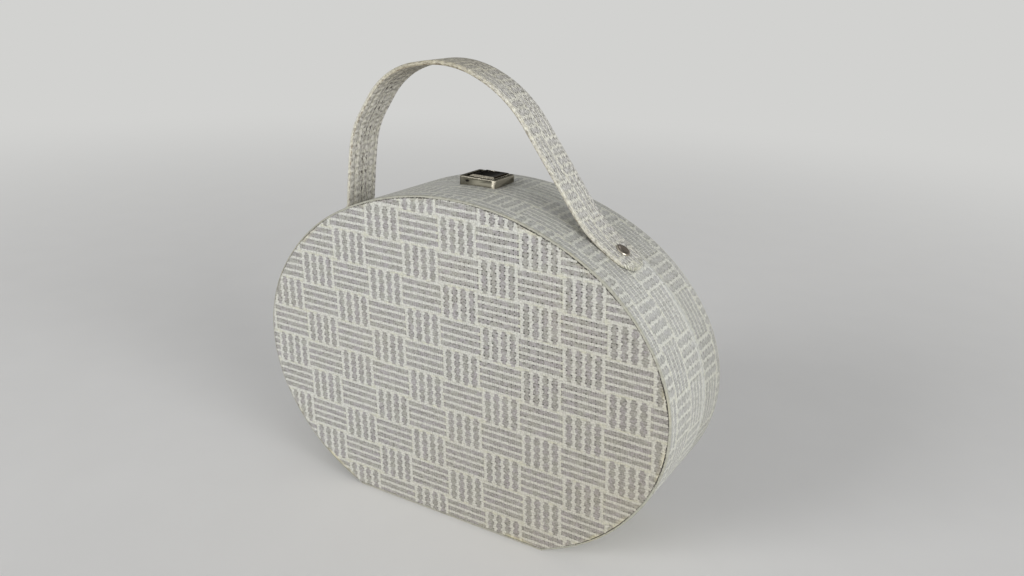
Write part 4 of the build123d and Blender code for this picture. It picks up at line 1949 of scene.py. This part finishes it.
@dataclass(frozen=True)
class Stage:
    """Floor, light and camera.

    Its places and sizes are in metres, the lens and its sensor in millimetres, and the camera's
    turns in degrees.
    """

    lens: float = 32.23
    sensor: float = 36.0
    camera_at: Place = (0.28413, -0.45875, 0.33202)
    camera_turn: Place = (70.7051, -1.8841, 30.6212)
    clip_start: float = 0.01
    floor_half: float = 40.0
    floor_cells: int = 4
    background: Colour = tint(210, 210, 208)
    lamps: tuple[Lamp, ...] = (Lamp("key", (-1.8, -3.4, 1.5), 2.2, 77.0),
                               Lamp("fill", (3.7, -1.4, 1.1), 2.6, 100.0),
                               Lamp("back", (0.8, 4.0, 0.8), 1.6, 18.0))
    sky: float = 0.38
    sky_colour: Colour = (0.88, 0.89, 0.9, 1.0)

    def make(self) -> None:
        """Builds the floor, the lamps, the world and the camera."""
        self.lay_floor()
        for lamp in self.lamps:
            lamp.make()
        self.light_world()
        self.set_camera()
        bpy.context.scene.view_settings.view_transform = "Standard"

    def lay_floor(self) -> None:
        """Wide floor that the case stands on."""
        mesh = bmesh.new()
        cells = self.floor_cells
        bmesh.ops.create_grid(mesh, x_segments=cells, y_segments=cells, size=self.floor_half)
        data = as_data(mesh, "floor")
        data.materials.append(StageFinish(background=self.background).make())
        floor = as_object("floor", data)

    def light_world(self) -> None:
        """Even pale light from all round, shown as the floor's colour behind the case."""
        world = bpy.data.worlds.new("room")
        bpy.context.scene.world = world
        world.use_nodes = True
        net = Tree(world.node_tree)
        light = net.node("ShaderNodeBackground", inputs={"Color": self.sky_colour, "Strength": self.sky})
        shown = net.node("ShaderNodeBackground", inputs={"Color": self.background, "Strength": 1.0})
        mixed = {0: net.plainly_seen(), 1: light.outputs[0], 2: shown.outputs[0]}
        blend = net.node("ShaderNodeMixShader", inputs=mixed)
        net.node("ShaderNodeOutputWorld", inputs={"Surface": blend.outputs[0]})

    def set_camera(self) -> None:
        """Camera at the photograph's viewing angle."""
        lens = bpy.data.cameras.new("camera")
        lens.lens = self.lens
        lens.sensor_width = self.sensor
        lens.clip_start = self.clip_start
        camera = as_object("camera", lens)
        camera.location = self.camera_at
        camera.rotation_euler = [math.radians(turn) for turn in self.camera_turn]
        bpy.context.scene.camera = camera


def make_metals() -> dict[str, bpy.types.Material]:
    """Makes the finishes of the metal parts.

    Returns:
        Each material by the part that it is for.
    """
    lock_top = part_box("lock_case")[1].z / MM
    finishes = {
        # The case's top is painted dark as a reflection, and its marked points get painted highlights.
        "case": MetalFinish(name="nickel", dull=tint(79, 77, 68), bright=tint(114, 111, 99),
                            smooth=0.4, rough=0.52, glance=0.4, rubbed=0.95, dark_top_reflection_from=lock_top),
        # The slide is a darker copy of the nickel, a painted dark reflection, with painted highlights on its
        # marked points.
        "slide": MetalFinish(name="nickel_painted_dark", dull=tint(44, 40, 37), bright=tint(64, 59, 54),
                             smooth=0.24, rough=0.36, glance=0.3, rubbed=1.0),
        # The rivets' marked flanks get a painted highlight.
        "rivets": MetalFinish(name="rivet_nickel", dull=tint(108, 101, 94), bright=tint(132, 124, 115),
                              smooth=0.24, rough=0.36, glance=0.5, rubbed=0.9),
        "inside": MetalFinish(name="plain_zinc", dull=tint(150, 147, 142), bright=tint(178, 176, 171),
                              smooth=0.3, rough=0.45, glance=1.0),
        "spring": MetalFinish(name="spring_steel", dull=tint(120, 120, 122), bright=tint(150, 150, 152),
                              smooth=0.3, rough=0.45, glance=1.0),
    }
    return {part: finish.make() for part, finish in finishes.items()}


def dress_nodes(nodes: Nodes, metals: dict[str, bpy.types.Material]) -> None:
    """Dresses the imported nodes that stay.

    Args:
        nodes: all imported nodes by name.
        metals: the finishes of the metal parts.
    """
    halves = [half.value for half in Half]
    boards = [half + part for half in halves for part in ("_panel_board", "_band_board")]
    linings = [half + part for half in halves for part in ("_panel_lining", "_band_lining")]
    dress(nodes, boards, BoardFinish().make())
    dress(nodes, linings + ["body_collar"], PaperFinish().make())
    inside = ["strap_washers", "lock_rivets", "lock_backing_plate"]
    inside += ["keeper", "keeper_rivets", "keeper_backing_plate"]
    dress(nodes, inside, metals["inside"])
    # Painted shade: the base inside the lock is dressed in the dark finish so that the slot shows dark.
    dress(nodes, ["lock_base"], metals["slide"])
    dress(nodes, ["lock_spring"], metals["spring"])


def main() -> None:
    """Builds every piece in order."""
    logging.basicConfig(level=logging.INFO, format="%(name)s: %(message)s")
    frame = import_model()
    nodes = frame["nodes"]
    outline = Outline()
    Stage().make()
    front_panel = PanelFinish(name="woven_front_panel", start_x=-5.05, start_z=135.66)
    back_panel = PanelFinish(name="woven_back_panel", start_x=8.0, start_z=131.0, facing=-1.0)
    body = Shell(half=Half.BODY, outline=outline, face=-40.5, mouth=11.4)
    lid = Shell(half=Half.LID, outline=outline, face=40.5, mouth=11.6)
    body_wrap = WrapFinish(name="woven_body_band", start_along=12.3, start_across=-50.4, lip=body.mouth,
                           way=body.way())
    lid_wrap = WrapFinish(name="woven_lid_band", start_along=21.8, start_across=13.64, lip=lid.mouth,
                          way=lid.way(), dirt=0.4)
    body.make(body_wrap.make(), front_panel.make())
    lid.make(lid_wrap.make(), back_panel.make())
    metals = make_metals()
    strap = Strap(outline)
    strap.make()
    Rivets(strap).make(metals["rivets"])
    case = SoftEdged(nodes=nodes, node="lock_case", body="body", offset=0.18, shown=0.6, front_slope_highlight=0.2,
                     corner=1.3, side=0.4)
    case.make(metals["case"])
    slide = SoftEdged(nodes=nodes, node="lock_slide", body="slide", offset=0.14, shown=1.0, front_slope_highlight=1.0)
    slide.make(metals["slide"])
    HingeCloth(outline).make(ClothFinish().make())
    dress_nodes(nodes, metals)


if __name__ == "__main__":
    main()
